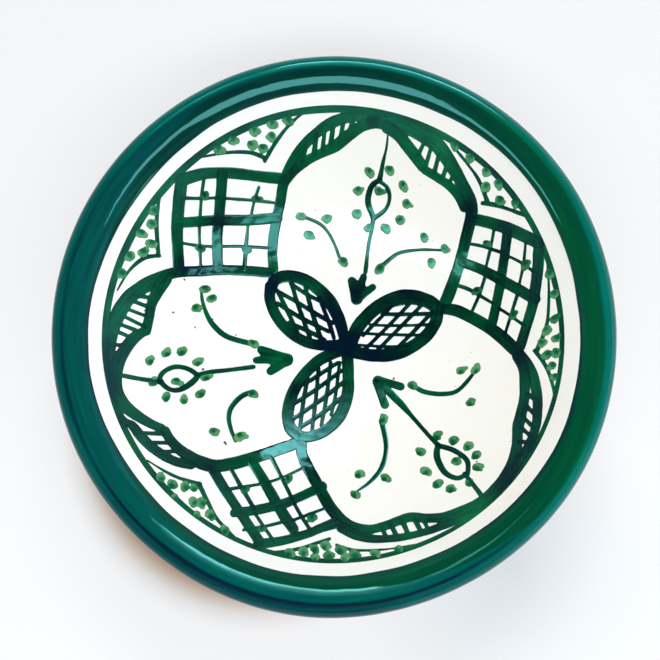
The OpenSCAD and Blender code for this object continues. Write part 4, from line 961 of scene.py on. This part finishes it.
def tone_of(layer, tone):
    """How dark the colour is, 0 to 1: a start value, streaks along the stroke as the hairs leave them, slow
    blotches, the brush's load, a second coat where strokes cross, and the pools."""
    streak = mottle(layer["run"] / 5, layer["side"] / 0.45 + layer["run"] / 40, 51)
    blotch = mottle(GRID_X / 7 + 12, GRID_Y / 7 + 12, 52)
    second = np.clip(COATS - 1, 0, 1.6)
    made = tone + 0.13 * streak + 0.2 * blotch + 0.12 * layer["load"] + 0.12 * second + pooled(GRID_X, GRID_Y)
    dab = 0.3 + 0.75 * layer["core"] + 0.1 * layer["load"] + 0.12 * mottle(GRID_X / 0.8, GRID_Y / 0.8, 53)
    return np.where(layer["leaf"] > 0, dab, made)


print("pools:", sum(p[3] > 0 for p in POOLS), "thin places:", sum(p[3] < 0 for p in POOLS))

# %% [markdown]
# ## From field to layer
# The outline of the colour is where its field is zero. Each lattice square has four corners inside or
# outside the colour, so sixteen cases. For each case the inside outline is listed once, and all squares of
# that case are made together. Points on the zero line are found by straight interpolation.


# %% Trace the field
def square_outline(case):
    """Corners inside (0 to 3) and crossed sides (4 to 7) of a lattice square, in order round it. Corner k is
    inside when bit k of the case is set, and side k joins corner k to the next."""
    bits = [case >> k & 1 for k in range(4)]
    outline = []
    for k in range(4):
        if bits[k]:
            outline.append(k)
        if bits[k] != bits[(k + 1) % 4]:
            outline.append(4 + k)
    return outline


def trace(gap):
    """Triangles and rim edges of the area where gap < 0, with the flat places of their points as lattice
    numbers. Returns places (n, 2), triangles and directed rim edges."""
    rows, columns = gap.shape
    inside = gap < 0
    corner = np.arange(gap.size).reshape(gap.shape)
    across, along = corner + gap.size, corner + 2 * gap.size
    i, j = np.meshgrid(np.arange(rows), np.arange(columns), indexing="ij")
    with np.errstate(divide="ignore", invalid="ignore"):
        cut_i = np.zeros_like(gap)
        cut_i[:-1] = gap[:-1] / (gap[:-1] - gap[1:])
        cut_j = np.zeros_like(gap)
        cut_j[:, :-1] = gap[:, :-1] / (gap[:, :-1] - gap[:, 1:])
    places = np.concatenate([
        np.column_stack([i.ravel(), j.ravel()]).astype(float),
        np.column_stack([(i + cut_i).ravel(), j.ravel()]),
        np.column_stack([i.ravel(), (j + cut_j).ravel()])])
    number = [corner[:-1, :-1], corner[1:, :-1], corner[1:, 1:], corner[:-1, 1:],
              across[:-1, :-1], along[1:, :-1], across[:-1, 1:], along[:-1, :-1]]
    flags = [inside[:-1, :-1], inside[1:, :-1], inside[1:, 1:], inside[:-1, 1:]]
    case = sum(f.astype(int) << k for k, f in enumerate(flags))
    triangles, rim = [], []
    for c in range(1, 16):
        kinds = square_outline(c)
        outline = [number[k][case == c] for k in kinds]
        for k in range(1, len(outline) - 1):
            triangles.append(np.column_stack([outline[0], outline[k], outline[k + 1]]))
        for k, kind in enumerate(kinds):
            after = kinds[(k + 1) % len(kinds)]
            if kind > 3 and after > 3:
                rim.append(np.column_stack([outline[k], outline[(k + 1) % len(kinds)]]))
    triangles, rim = np.concatenate(triangles), np.concatenate(rim)
    used, back = np.unique(triangles, return_inverse=True)
    renumber = np.zeros(len(places), int)
    renumber[used] = np.arange(len(used))
    return places[used], back.reshape(triangles.shape), renumber[rim]


print("outline of a square with corners 0 and 1 inside:", square_outline(3))

# %% [markdown]
# ### Onto the glaze
# A flat layer has to follow the curve of the well. Wrapping it with a modifier would stretch it, so each
# point takes its height straight from the inside of the dish. A second copy a little lower, and a skirt
# between the two, close the layer. No group is painted past the ring line, whose wavering edge cuts every
# field.


# %% Lift a layer
def sample(values, places):
    """Values of a lattice array at places between its points, blended from the four corners."""
    i, j = np.minimum(np.floor(places).astype(int), np.array(values.shape) - 2).T
    s, t = places[:, 0] - i, places[:, 1] - j
    low = values[i, j] * (1 - s) + values[i + 1, j] * s
    return low * (1 - t) + (values[i, j + 1] * (1 - s) + values[i + 1, j + 1] * s) * t


def lift_onto_glaze(name, gap, layer, order, tone, slot, stands_for):
    """Turns a layer, as far as its gap is below 0, into a closed skin on the inside of the dish. Its face
    stands t * (1 - exp(-depth / 0.18)) above the glaze, so it rises quickly from the edge."""
    places, triangles, rim = trace(gap)
    x, y = sample(GRID_X, places), sample(GRID_Y, places)
    r, angle = np.hypot(x, y), np.arctan2(y, x)
    depth = np.maximum(-sample(gap, places), 0)
    uneven = 1 + 0.25 * mottle(x / 2.3, y / 2.3, 61)
    height = (0.012 + 0.003 * order + PAINT * uneven * (1 - np.exp(-depth / 0.18))) / lean(r)
    base = inside_height(r, angle)
    face = np.column_stack([x, y, base + height])
    back = np.column_stack([x, y, base - 0.05])
    n = len(face)
    a, b = rim.T
    skirt = np.concatenate([np.column_stack([b, a, a + n]), np.column_stack([b, a + n, b + n])])
    triangles = np.concatenate([triangles, triangles[:, ::-1] + n, skirt])
    values = {"depth": depth, "tone": sample(tone_of(layer, tone), places)}
    values["leaf"] = sample(layer["leaf"], places)
    values = {key: np.concatenate([value, value]) for key, value in values.items()}
    return make_piece(name, np.vstack([face, back]), triangles, values, rim, slot, stands_for)


RING_EDGE = GRID_R - (RING_R - 0.4 + waves(GRID_T, RING_WAVES))
print("lattice points inside the ring line:", int((RING_EDGE < 0).sum()))

# %% [markdown]
# ## Paint the groups
# First all strokes are laid into their layers, because a second coat is darker wherever strokes of any two
# groups cross. Each brush has its width in millimetres, how much colour one coat leaves, how far the wet
# colour spreads past the hairs, and how softly its strokes run together.

# %% Lay every stroke
BRUSHES = {"broad": (3.7, 1.0, 0.13, 0.25), "head": (3.7, 1.0, 0.2, 2.2), "fine": (1.0, 0.8, 0.09, 0.2)}
LAYERS = {}
for number, (name, marks) in enumerate(BRUSHWORK.items()):
    layer = new_layer()
    for kind, (width, coats, spread, soft) in BRUSHES.items():
        for k, points in enumerate(marks.get(kind, [])):
            lay_stroke(layer, points, width, number * 7 + k * 1.7, coats, spread, soft)
    for k, dab in enumerate(marks.get("dabs", [])):
        lay_dab(layer, dab, number * 100 + k + 1, marks.get("leaf", 1.0), marks.get("dark_side", 90))
    LAYERS[name] = layer
print("layers laid:", len(LAYERS), "largest number of coats:", round(float(COATS.max()), 1))

# %% [markdown]
# ### The ring line
# The potter holds a loaded brush still while the dish turns, so the line closes on itself and is a little
# wider where it started. A list of points would show its corners, so its field comes straight from the
# radius.

# %% Band the ring line
RING_W = 1.75
ring_w = RING_W + 0.35 * np.cos(GRID_T - np.radians(125)) + 0.12 * mottle(GRID_T * 5 + 20, GRID_T * 0, 71)
ring_middle = RING_R - ring_w / 2 - 0.25 + waves(GRID_T, RING_WAVES)
ring_layer = new_layer()
ring_gap = np.abs(GRID_R - ring_middle) - ring_w / 2
join_shape(ring_layer, (slice(None), slice(None)), ring_gap, 0.6, run=(GRID_T + np.pi) * RING_R,
           side=GRID_R - ring_middle, load=mottle(GRID_T * 2.5 + 9, GRID_T * 0, 72), leaf=0.0)
lift_onto_glaze("ring_line_paint", ring_layer["gap"], ring_layer, 0, 0.5, "brush_green", ["ring_line"])

# %% [markdown]
# ### Every group its own piece
# Each group becomes its own piece, in painting order, each a hair higher than the last for nine steps and
# then low again, so that groups next to each other in the order don't share a face where they cross.

# %% Lift the layers onto the glaze
for number, (name, marks) in enumerate(BRUSHWORK.items()):
    slot = "leaf_green" if marks.get("leaf", 0) == 1 else "brush_green"
    gap = np.maximum(LAYERS[name]["gap"], RING_EDGE)
    lift_onto_glaze(name + "_paint", gap, LAYERS[name], number % 9 + 1, marks.get("tone", 0.5), slot, [name])

# %% [markdown]
# ## Iron specks
# Grains of iron in the clay burn through the white glaze as brown specks. A spotty noise in the glaze would
# draw them too, but they are real bumps. Each is a low dome of a few faces. The larger ones are listed one
# by one, in hundredths of the ring line's radius with their size in millimetres, and the rest by chance.

# %% Iron specks
SPECKS = [[-69, 25.3, 0.4], [-63, 14.2, 0.35], [-73.7, 9.8, 0.45], [-64.5, 3.7, 0.35], [-46.5, 1.2, 0.3],
          [-60.5, -15.7, 0.55], [-60.8, -25.7, 0.45], [-49.2, -49.2, 0.5], [-48.6, -50, 0.4], [-85, 9.4, 0.3],
          [-82.7, -13.5, 0.55], [-35.5, 33.3, 0.3], [27.8, -18.9, 0.5], [62.8, -57.2, 0.3], [-57, 8, 0.3]]
SMALL, SIDES = 22, 10
chance = np.random.default_rng(81)
far, way = 95 * np.sqrt(chance.uniform(0, 1, SMALL)), chance.uniform(0, 2 * np.pi, SMALL)
small = np.column_stack([far * np.cos(way), far * np.sin(way), chance.uniform(0.1, 0.2, SMALL)])
specks = np.vstack([SPECKS, small])
turn = np.arange(SIDES) * 2 * np.pi / SIDES
uneven = 1 + 0.25 * chance.uniform(-1, 1, (len(specks), SIDES))
rings = [(1.0, -0.05), (1.0, 0.02), (0.6, 0.13)]
j = np.arange(SIDES)
over, top = (j + 1) % SIDES, SIDES * len(rings) + 1
caps = [np.column_stack([j * 0, over + 1, j + 1]),
        np.column_stack([j * 0 + top, j + top - SIDES, over + top - SIDES])]
dome = np.concatenate([grid_triangles(len(rings), SIDES, False) + 1, *caps])
speck_points, speck_faces, start = [], [], 0
for (sx, sy, size), rough in zip(specks, uneven):
    sx, sy = sx * UNIT, sy * UNIT
    px = np.concatenate([[sx], *[sx + share * size * rough * np.cos(turn) for share, _ in rings], [sx]])
    py = np.concatenate([[sy], *[sy + share * size * rough * np.sin(turn) for share, _ in rings], [sy]])
    up = np.concatenate([[-0.05], *[np.full(SIDES, h) for _, h in rings], [0.16]])
    r, angle = np.hypot(px, py), np.arctan2(py, px)
    speck_points.append(np.column_stack([px, py, inside_height(r, angle) + up]))
    speck_faces.append(dome + start)
    start += top + 1
make_piece("iron_specks", np.vstack(speck_points), np.concatenate(speck_faces))

# %% [markdown]
# ## Colours
# Colours below are given as the eye sees them on a screen, 0 to 255, because that is how one mixes and
# compares them. Light works in linear values, so a helper turns one into the other. The green layers are
# given as seen under the studio's light, which is brighter than 1, so that light is divided out again.


# %% Colours as seen
def shade(r, g, b, light=1.0):
    """Linear colour of display values 0 to 255. With c from 0 to 1 it is ((c + 0.055) / 1.055) to the power
    2.4, or c / 12.92 when dark, divided by the light that falls on it."""
    c = np.array([r, g, b]) / 255
    lin = np.where(c <= 0.04045, c / 12.92, ((c + 0.055) / 1.055) ** 2.4) / light
    return (*lin.tolist(), 1.0)


LIGHT_ON_DISH = 1.7


def as_seen(stops):
    """Stops of (place, r, g, b) as seen under the studio's light."""
    return [(at, shade(r, g, b, LIGHT_ON_DISH)) for at, r, g, b in stops]


print("a mid grey of 128 is", round(shade(128, 128, 128)[0], 3), "in linear light")

# %% [markdown]
# ## Node helpers
# Each finish is a Principled shader whose colour, roughness and small relief come from nodes. The nodes
# could be placed one by one in the editor. Small functions for the kinds used again keep each finish to a
# few lines.


# %% Make and join nodes
def new_finish(name, **sockets):
    """A new material with its Principled shader's plain sockets set. Returns the node tree and the shader."""
    finish = bpy.data.materials.new(name)
    finish.use_nodes = True
    shader = finish.node_tree.nodes["Principled BSDF"]
    for key, value in sockets.items():
        shader.inputs[key.replace("_", " ")].default_value = value
    return finish, finish.node_tree, shader


def put(tree, kind, inputs=None, **settings):
    """Adds a shader node with its settings, and gives each input a value or links it to another's output."""
    made = tree.nodes.new("ShaderNode" + kind)
    for key, value in settings.items():
        setattr(made, key, value)
    for key, value in (inputs or {}).items():
        if isinstance(value, bpy.types.NodeSocket):
            tree.links.new(value, made.inputs[key])
        else:
            made.inputs[key].default_value = value
    return made.outputs[0]


def stored(tree, name, output="Fac"):
    """Output of the value that each point of a piece keeps under that name."""
    made = tree.nodes.new("ShaderNodeAttribute")
    made.attribute_name = name
    return made.outputs[output]


def place(tree):
    """The point's own place on the object, in metres."""
    return tree.nodes.new("ShaderNodeTexCoord").outputs["Object"]


print("node helpers:", ", ".join(f.__name__ for f in (new_finish, put, stored, place)))

# %% [markdown]
# ### Noise, sums and ramps
# A noise gives blotches, a ramp turns a number into a colour, and a bump turns it into a slight relief.
# Nearly every finish here is some sum of these three.


# %% Noise, sums and ramps
def cloud(tree, scale, detail=3.0, rough=0.55, where=None):
    """A noise texture at the point's place, from 0 to 1, scale spots to the metre."""
    where = place(tree) if where is None else where
    return put(tree, "TexNoise", {"Vector": where, "Scale": scale, "Detail": detail, "Roughness": rough})


def span(tree, value, low, high, to_low, to_high):
    """Takes a value from the span low..high to the span to_low..to_high."""
    return put(tree, "MapRange", {"Value": value, "From Min": low, "From Max": high, "To Min": to_low,
                                  "To Max": to_high})


def plus(tree, a, b):
    """Sum of two values."""
    return put(tree, "Math", {0: a, 1: b}, operation="ADD")


def blend(tree, value, stops):
    """Colour ramp through the stops (place, colour), each made in turn, since a ramp sorts its marks."""
    made = tree.nodes.new("ShaderNodeValToRGB")
    marks = made.color_ramp.elements
    marks.remove(marks[1])
    marks[0].position, marks[0].color = stops[0]
    for at, colour in stops[1:]:
        marks.new(at).color = colour
    tree.links.new(value, made.inputs["Fac"])
    return made.outputs["Color"]


def mixed_by(tree, amount, first, second):
    """The first colour where the amount is 0 and the second where it is 1."""
    mix = tree.nodes.new("ShaderNodeMix")
    mix.data_type = "RGBA"
    for key, value in (("Factor_Float", amount), ("A_Color", first), ("B_Color", second)):
        socket = next(s for s in mix.inputs if s.identifier == key)
        tree.links.new(value, socket)
    return next(s for s in mix.outputs if s.identifier == "Result_Color")


def relief(tree, shader, height, distance, strength=1.0):
    """Small relief from a height value, distance metres deep."""
    bump = put(tree, "Bump", {"Height": height, "Distance": distance, "Strength": strength})
    tree.links.new(bump, shader.inputs["Normal"])


def dress(finish, *names):
    """Gives the finish to the pieces with those names and prints how much went into it."""
    for name in names:
        PIECES[name].data.materials.append(finish)
    print(f"{finish.name}: {len(finish.node_tree.nodes)} nodes on {len(names)} pieces")


print("finish helpers:", ", ".join(f.__name__ for f in (cloud, span, plus, blend, mixed_by, relief, dress)))

# %% [markdown]
# ### Red clay
# Fired earthenware is dull and grainy, with paler bloom and darker toasted places. A coarse noise gives the
# places, and a fine one gives the grains, which also make the surface rough to the touch.

# %% Red clay finish
clay, tree, shader = new_finish("fired_red_clay", Specular_IOR_Level=0.3)
patches = cloud(tree, 28, 4, 0.6)
grains = cloud(tree, 1500, 2, 0.7)
mixed = plus(tree, span(tree, patches, 0.3, 0.7, 0.0, 0.75), span(tree, grains, 0.3, 0.7, -0.12, 0.3))
tree.links.new(blend(tree, mixed, [(0.0, shade(142, 74, 50)), (0.45, shade(178, 101, 70)),
                                   (0.8, shade(200, 126, 92)), (1.0, shade(216, 150, 116))]),
               shader.inputs["Base Color"])
tree.links.new(span(tree, grains, 0.2, 0.8, 0.62, 0.88), shader.inputs["Roughness"])
relief(tree, shader, plus(tree, grains, span(tree, cloud(tree, 420, 3, 0.6), 0, 1, 0, 1.5)), 0.00012)
dress(clay, "clay_dish")

# %% [markdown]
# ### White glaze
# A tin white glaze is glossy and slightly warm, with a faint unevenness in its gloss and hardly any relief.
# It is a little warmer in soft blotches and towards the +x side.

# %% White glaze finish
white, tree, shader = new_finish("white_tin_glaze", IOR=1.5, Coat_Weight=0.0)
to_side = put(tree, "SeparateXYZ", {"Vector": place(tree)}).node.outputs["X"]
thin = span(tree, cloud(tree, 14, 3, 0.5), 0.35, 0.65, 0.0, 0.35)
warm = plus(tree, thin, span(tree, to_side, -0.05, 0.09, 0.0, 0.65))
tree.links.new(blend(tree, warm, [(0.0, shade(241, 241, 239)), (0.5, shade(243, 242, 237)),
                                  (1.0, shade(245, 242, 231))]), shader.inputs["Base Color"])
tree.links.new(span(tree, cloud(tree, 90, 3), 0.3, 0.7, 0.04, 0.09), shader.inputs["Roughness"])
relief(tree, shader, cloud(tree, 160, 2, 0.4), 0.00003)
dress(white, "white_glaze_skin")

# %% [markdown]
# ### Brush green
# The copper green goes on as a wash under the clear surface. The stored tone drives the colour from bright
# green where it is thin to blue black where it pooled, and the edge, where colour dries thickest, is a
# little darker. One finish could serve both brushes, but only the groups with dabs need the second set of
# stops.

# %% Brush green and leaf green finishes
BRUSH_STOPS = as_seen([(0.0, 20, 134, 70), (0.25, 0, 110, 58), (0.5, 0, 85, 50), (0.75, 0, 52, 36),
                       (0.95, 0, 26, 28), (1.0, 0, 16, 44)])
LEAF_STOPS = as_seen([(0.0, 146, 202, 142), (0.3, 104, 178, 116), (0.6, 28, 128, 68), (1.0, 0, 88, 46)])
GREEN_GLASS = (0.22, 0.84, 0.86, 1.0)


def brush_finish(name, leaf):
    """Brush colour: tone plus a darker edge plus a fine cloud, through the colour stops. If leaf, the stored
    leaf value mixes in the stops of the leaf green. The roughness and the relief have clouds of their own."""
    finish, tree, shader = new_finish(name, Specular_Tint=GREEN_GLASS, IOR=1.5)
    edge = span(tree, stored(tree, "depth"), 0.0, 0.3, 0.07, 0.0)
    fine = span(tree, cloud(tree, 1100, 2, 0.6), 0.3, 0.7, -0.06, 0.06)
    tone = plus(tree, plus(tree, stored(tree, "tone"), edge), fine)
    colour = blend(tree, tone, BRUSH_STOPS)
    if leaf:
        leafy = blend(tree, tone, LEAF_STOPS)
        colour = mixed_by(tree, stored(tree, "leaf"), colour, leafy)
    tree.links.new(colour, shader.inputs["Base Color"])
    tree.links.new(span(tree, cloud(tree, 300, 2), 0.3, 0.7, 0.06, 0.14), shader.inputs["Roughness"])
    relief(tree, shader, cloud(tree, 380, 3, 0.55), 0.00004)
    return finish


with_dabs = [name + "_paint" for name, marks in BRUSHWORK.items() if marks.get("dabs")]
dress(brush_finish("brush_green_wash", False),
      *[name for name in PIECES if name.endswith("_paint") and name not in with_dabs])
dress(brush_finish("leaf_green_wash", True), *with_dabs)

# %% [markdown]
# ### Green lip glaze
# The lip's colour lies under a thick glassy skin: green on the slope, bluer over the crest, streaked along
# the rim. The blue is a painted reflection of the pale room, and the tone holds painted highlight and
# shade. The stored tone, teal and dull values carry that, and a stretched noise adds the streaks.

# %% Green lip finish
lip, tree, shader = new_finish("green_lip_glaze", Specular_Tint=GREEN_GLASS, IOR=1.5)
streaks = span(tree, cloud(tree, 1.0, 4, 0.6, stored(tree, "grain", "Vector")), 0.3, 0.7, -0.1, 0.1)
edge = span(tree, stored(tree, "depth"), 0.0, 0.8, 0.34, 0.0)
tone = plus(tree, plus(tree, stored(tree, "tone"), streaks), edge)
SLOPE_STOPS = as_seen([(0.0, 0, 114, 60), (0.35, 0, 93, 57), (0.65, 0, 68, 54), (1.0, 0, 34, 46)])
CREST_STOPS = as_seen([(0.0, 0, 132, 118), (0.35, 0, 108, 98), (0.65, 0, 82, 82), (1.0, 0, 36, 58)])
green, blue = blend(tree, tone, SLOPE_STOPS), blend(tree, tone, CREST_STOPS)
# Painted reflection: the teal value mixes in the bluer crest stops where the lip would mirror the pale room.
tree.links.new(mixed_by(tree, stored(tree, "teal"), green, blue), shader.inputs["Base Color"])
fine = span(tree, cloud(tree, 120, 2), 0.3, 0.7, 0.04, 0.08)
tree.links.new(plus(tree, fine, span(tree, stored(tree, "dull"), 0, 1, 0, 0.2)), shader.inputs["Roughness"])
tree.links.new(span(tree, stored(tree, "dull"), 0, 1, 0.5, 0.03), shader.inputs["Specular IOR Level"])
relief(tree, shader, cloud(tree, 140, 2, 0.4), 0.00004)
dress(lip, "green_lip")

# %% [markdown]
# ### Burnt iron
# A speck is nearly black in the middle and rusty round it. Noise finer than a speck gives each its own
# brown.

# %% Iron speck finish
iron, tree, shader = new_finish("burnt_iron", Roughness=0.35)
tree.links.new(blend(tree, cloud(tree, 700, 2), [(0.3, shade(34, 20, 16)), (0.7, shade(92, 44, 34))]),
               shader.inputs["Base Color"])
dress(iron, "iron_specks")

# %% [markdown]
# ## The studio
# Glossy glaze shows whatever is round it, so the room matters as much as the lamps. Flat glowing panels
# hang above the dish, and the glazes mirror them as a real dish mirrors the windows of a room. Area lamps
# could give the light, but a panel's own outline is what gives each highlight its shape. The outline is
# given by where it is seen from the dish: sideways and forwards for each unit of height.


# %% A glowing panel
def stage_panel(name, outline, height, strength):
    """A flat glowing panel at that height in metres. Each outline point is the direction it is seen in from
    the dish, as (x, y) for a height of 1. The glow follows the stops (share of the way to the far side,
    strength), and wavers like light through a curtain."""
    points = [(x * height, y * height, height) for x, y in outline]
    mesh = bpy.data.meshes.new(name)
    mesh.from_pydata(points, [], [list(range(len(points)))])
    if mesh.polygons[0].normal.z > 0:
        mesh.flip_normals()
    glow = bpy.data.materials.new(name + "_glow")
    glow.use_nodes = True
    tree = glow.node_tree
    tree.nodes.clear()
    emit = tree.nodes.new("ShaderNodeEmission")
    near, far = min(p[1] for p in points), max(p[1] for p in points)
    along = put(tree, "SeparateXYZ", {"Vector": place(tree)}).node.outputs["Y"]
    wavering = plus(tree, along, span(tree, cloud(tree, 5, 3), 0.3, 0.7, -0.1 * height, 0.1 * height))
    share = span(tree, wavering, near, far, 0, 1)
    top = max(value for _, value in strength)
    rise = blend(tree, share, [(at, (value / top,) * 3 + (1,)) for at, value in strength])
    rise = put(tree, "Math", {0: rise, 1: top}, operation="MULTIPLY")
    tree.links.new(rise, emit.inputs["Strength"])
    out = tree.nodes.new("ShaderNodeOutputMaterial")
    tree.links.new(emit.outputs[0], out.inputs["Surface"])
    mesh.materials.append(glow)
    panel = bpy.data.objects.new(name, mesh)
    bpy.context.scene.collection.objects.link(panel)
    print(f"{name}: {height} m up, strength up to {top}")
    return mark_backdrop(panel)


stage_panel("front_soft_box", [(-1.06, -0.275), (-0.63, -0.44), (-0.275, -0.64), (0.335, -0.64),
                               (0.77, -0.52), (1.0, -0.235), (0.68, -0.275), (0.365, -0.345),
                               (-0.355, -0.335), (-0.955, -0.226)], 0.6, [(0, 8.0), (1, 8.0)])
stage_panel("back_side_box", [(-0.34, 0.45), (-0.1, 0.46), (-0.1, 0.62), (-0.3, 0.66)], 1.21,
            [(0, 3.5), (1, 7.0)])
stage_panel("back_soft_box", [(-0.2, 0.40), (0.14, 0.42), (0.5, 0.80), (0.52, 1.14), (-0.18, 1.08)], 1.2,
            [(0, 0.4), (0.25, 1.5), (0.55, 5.0), (0.68, 17.0)])

# %% [markdown]
# ### The table
# The table is a plain pale plane. So much light comes from all round, and the table itself glows a little,
# that a lamp's own shadow would be lost in it, so the soft warm shade under one side of the dish, tinted by
# the clay above it, and a faint cool one beside it are painted shadows in the table's colour and glow. A
# real shadow needs one strong lamp, which would also change the highlights.

# %% Table
SIDE = 6
floor_mesh = bpy.data.meshes.new("studio_floor")
corners = [(-SIDE, -SIDE, 0), (SIDE, -SIDE, 0), (SIDE, SIDE, 0), (-SIDE, SIDE, 0)]
floor_mesh.from_pydata(corners, [], [(0, 1, 2, 3)])
floor = bpy.data.objects.new("studio_floor", floor_mesh)
bpy.context.scene.collection.objects.link(floor)
table, tree, shader = new_finish("pale_table", Roughness=0.7, Specular_IOR_Level=0.1, Emission_Strength=0.51)


def soft_spot(x, y, radius):
    """1 at a place on the table, falling evenly to 0 at the radius, all in metres."""
    moved = put(tree, "Mapping", {"Vector": place(tree), "Location": (-x / radius, -y / radius, 0),
                                  "Scale": (1 / radius, 1 / radius, 1)})
    return put(tree, "TexGradient", {"Vector": moved}, gradient_type="SPHERICAL").node.outputs["Fac"]


# Painted shadow: colour and glow darken and turn brown in a disc under the -x -y side of the dish.
moved = put(tree, "Mapping", {"Vector": place(tree), "Location": (0.0300, 0.0325, 0)})
from_shade = put(tree, "VectorMath", {0: moved}, operation="LENGTH").node.outputs["Value"]
under = put(tree, "MapRange", {"Value": from_shade, "From Min": 0.061, "From Max": 0.084, "To Min": 1.0,
                               "To Max": 0.0}, interpolation_type="SMOOTHSTEP")
tree.links.new(blend(tree, under, [(0.0, (0.385, 0.39, 0.395, 1)), (0.35, (0.32, 0.315, 0.305, 1)),
                                   (0.85, (0.2, 0.13, 0.08, 1))]), shader.inputs["Base Color"])
OPEN = (0.96, 0.985, 1.0, 1)
# Painted shadow: a faint cool shade in a soft spot beside the dish on the +x -y side.
cool = blend(tree, soft_spot(0.070, -0.088, 0.066), [(0.0, OPEN), (0.5, (0.78, 0.86, 0.9, 1)),
                                                    (1.0, (0.6, 0.7, 0.75, 1))])
warm = blend(tree, under, [(0.0, OPEN), (0.3, (0.82, 0.81, 0.8, 1)), (0.8, (0.4, 0.31, 0.22, 1))])
glow = put(tree, "MixRGB", {0: 1.0, 1: cool, 2: warm}, blend_type="DARKEN")
tree.links.new(glow, shader.inputs["Emission Color"])
floor_mesh.materials.append(table)
print(f"pale table: {2 * SIDE} m wide, {len(tree.nodes)} nodes")

# %% [markdown]
# ### The surround
# A room is bright near the walls and dim overhead, which keeps the deep greens of the well from washing
# out. A ramp on the height of each direction gives that, and a second one makes one side of the room
# brighter.

# %% Surround
world = bpy.data.worlds.new("studio_surround")
bpy.context.scene.world = world
world.use_nodes = True
tree = world.node_tree
sky = tree.nodes["Background"]
looking = tree.nodes.new("ShaderNodeTexCoord").outputs["Generated"]
way = put(tree, "SeparateXYZ", {"Vector": looking}).node.outputs
sideways = plus(tree, way["X"], span(tree, way["Y"], -1, 1, 1, -1))
lit = blend(tree, way["Z"], [(0.0, (0.86, 0.93, 1.0, 1)), (0.3, (0.80, 0.88, 0.97, 1)),
                             (0.52, (0.2, 0.22, 0.23, 1)), (1.0, (0.17, 0.18, 0.2, 1))])
tree.links.new(lit, sky.inputs["Color"])
tree.links.new(span(tree, sideways, -0.9, 0.9, 0.6, 1.5), sky.inputs["Strength"])
print("surround:", len(tree.nodes), "nodes")

# %% [markdown]
# ## The camera
# The camera looks down into the dish from almost overhead, a little to the right and in front of the
# middle. It is placed by its own right and upward directions, which leaves no doubt about how it is turned.

# %% Camera
camera_data = bpy.data.cameras.new("studio_camera")
camera_data.sensor_width = 36.0
camera_data.lens = 49.09
camera_data.clip_start, camera_data.clip_end = 0.01, 20
camera = bpy.data.objects.new("studio_camera", camera_data)
right, upward = np.array([0.99943, 0.00465, -0.03346]), np.array([0.0, 0.99049, 0.13759])
turn = Matrix(np.column_stack([right, upward, np.cross(right, upward)]).tolist()).to_4x4()
camera.matrix_world = Matrix.Translation((0.010115, -0.045362, 0.365819)) @ turn
bpy.context.scene.collection.objects.link(camera)
bpy.context.scene.camera = camera
bpy.context.scene.view_settings.view_transform = "Standard"
print("camera at", [round(v, 3) for v in camera.matrix_world.translation], "metres")
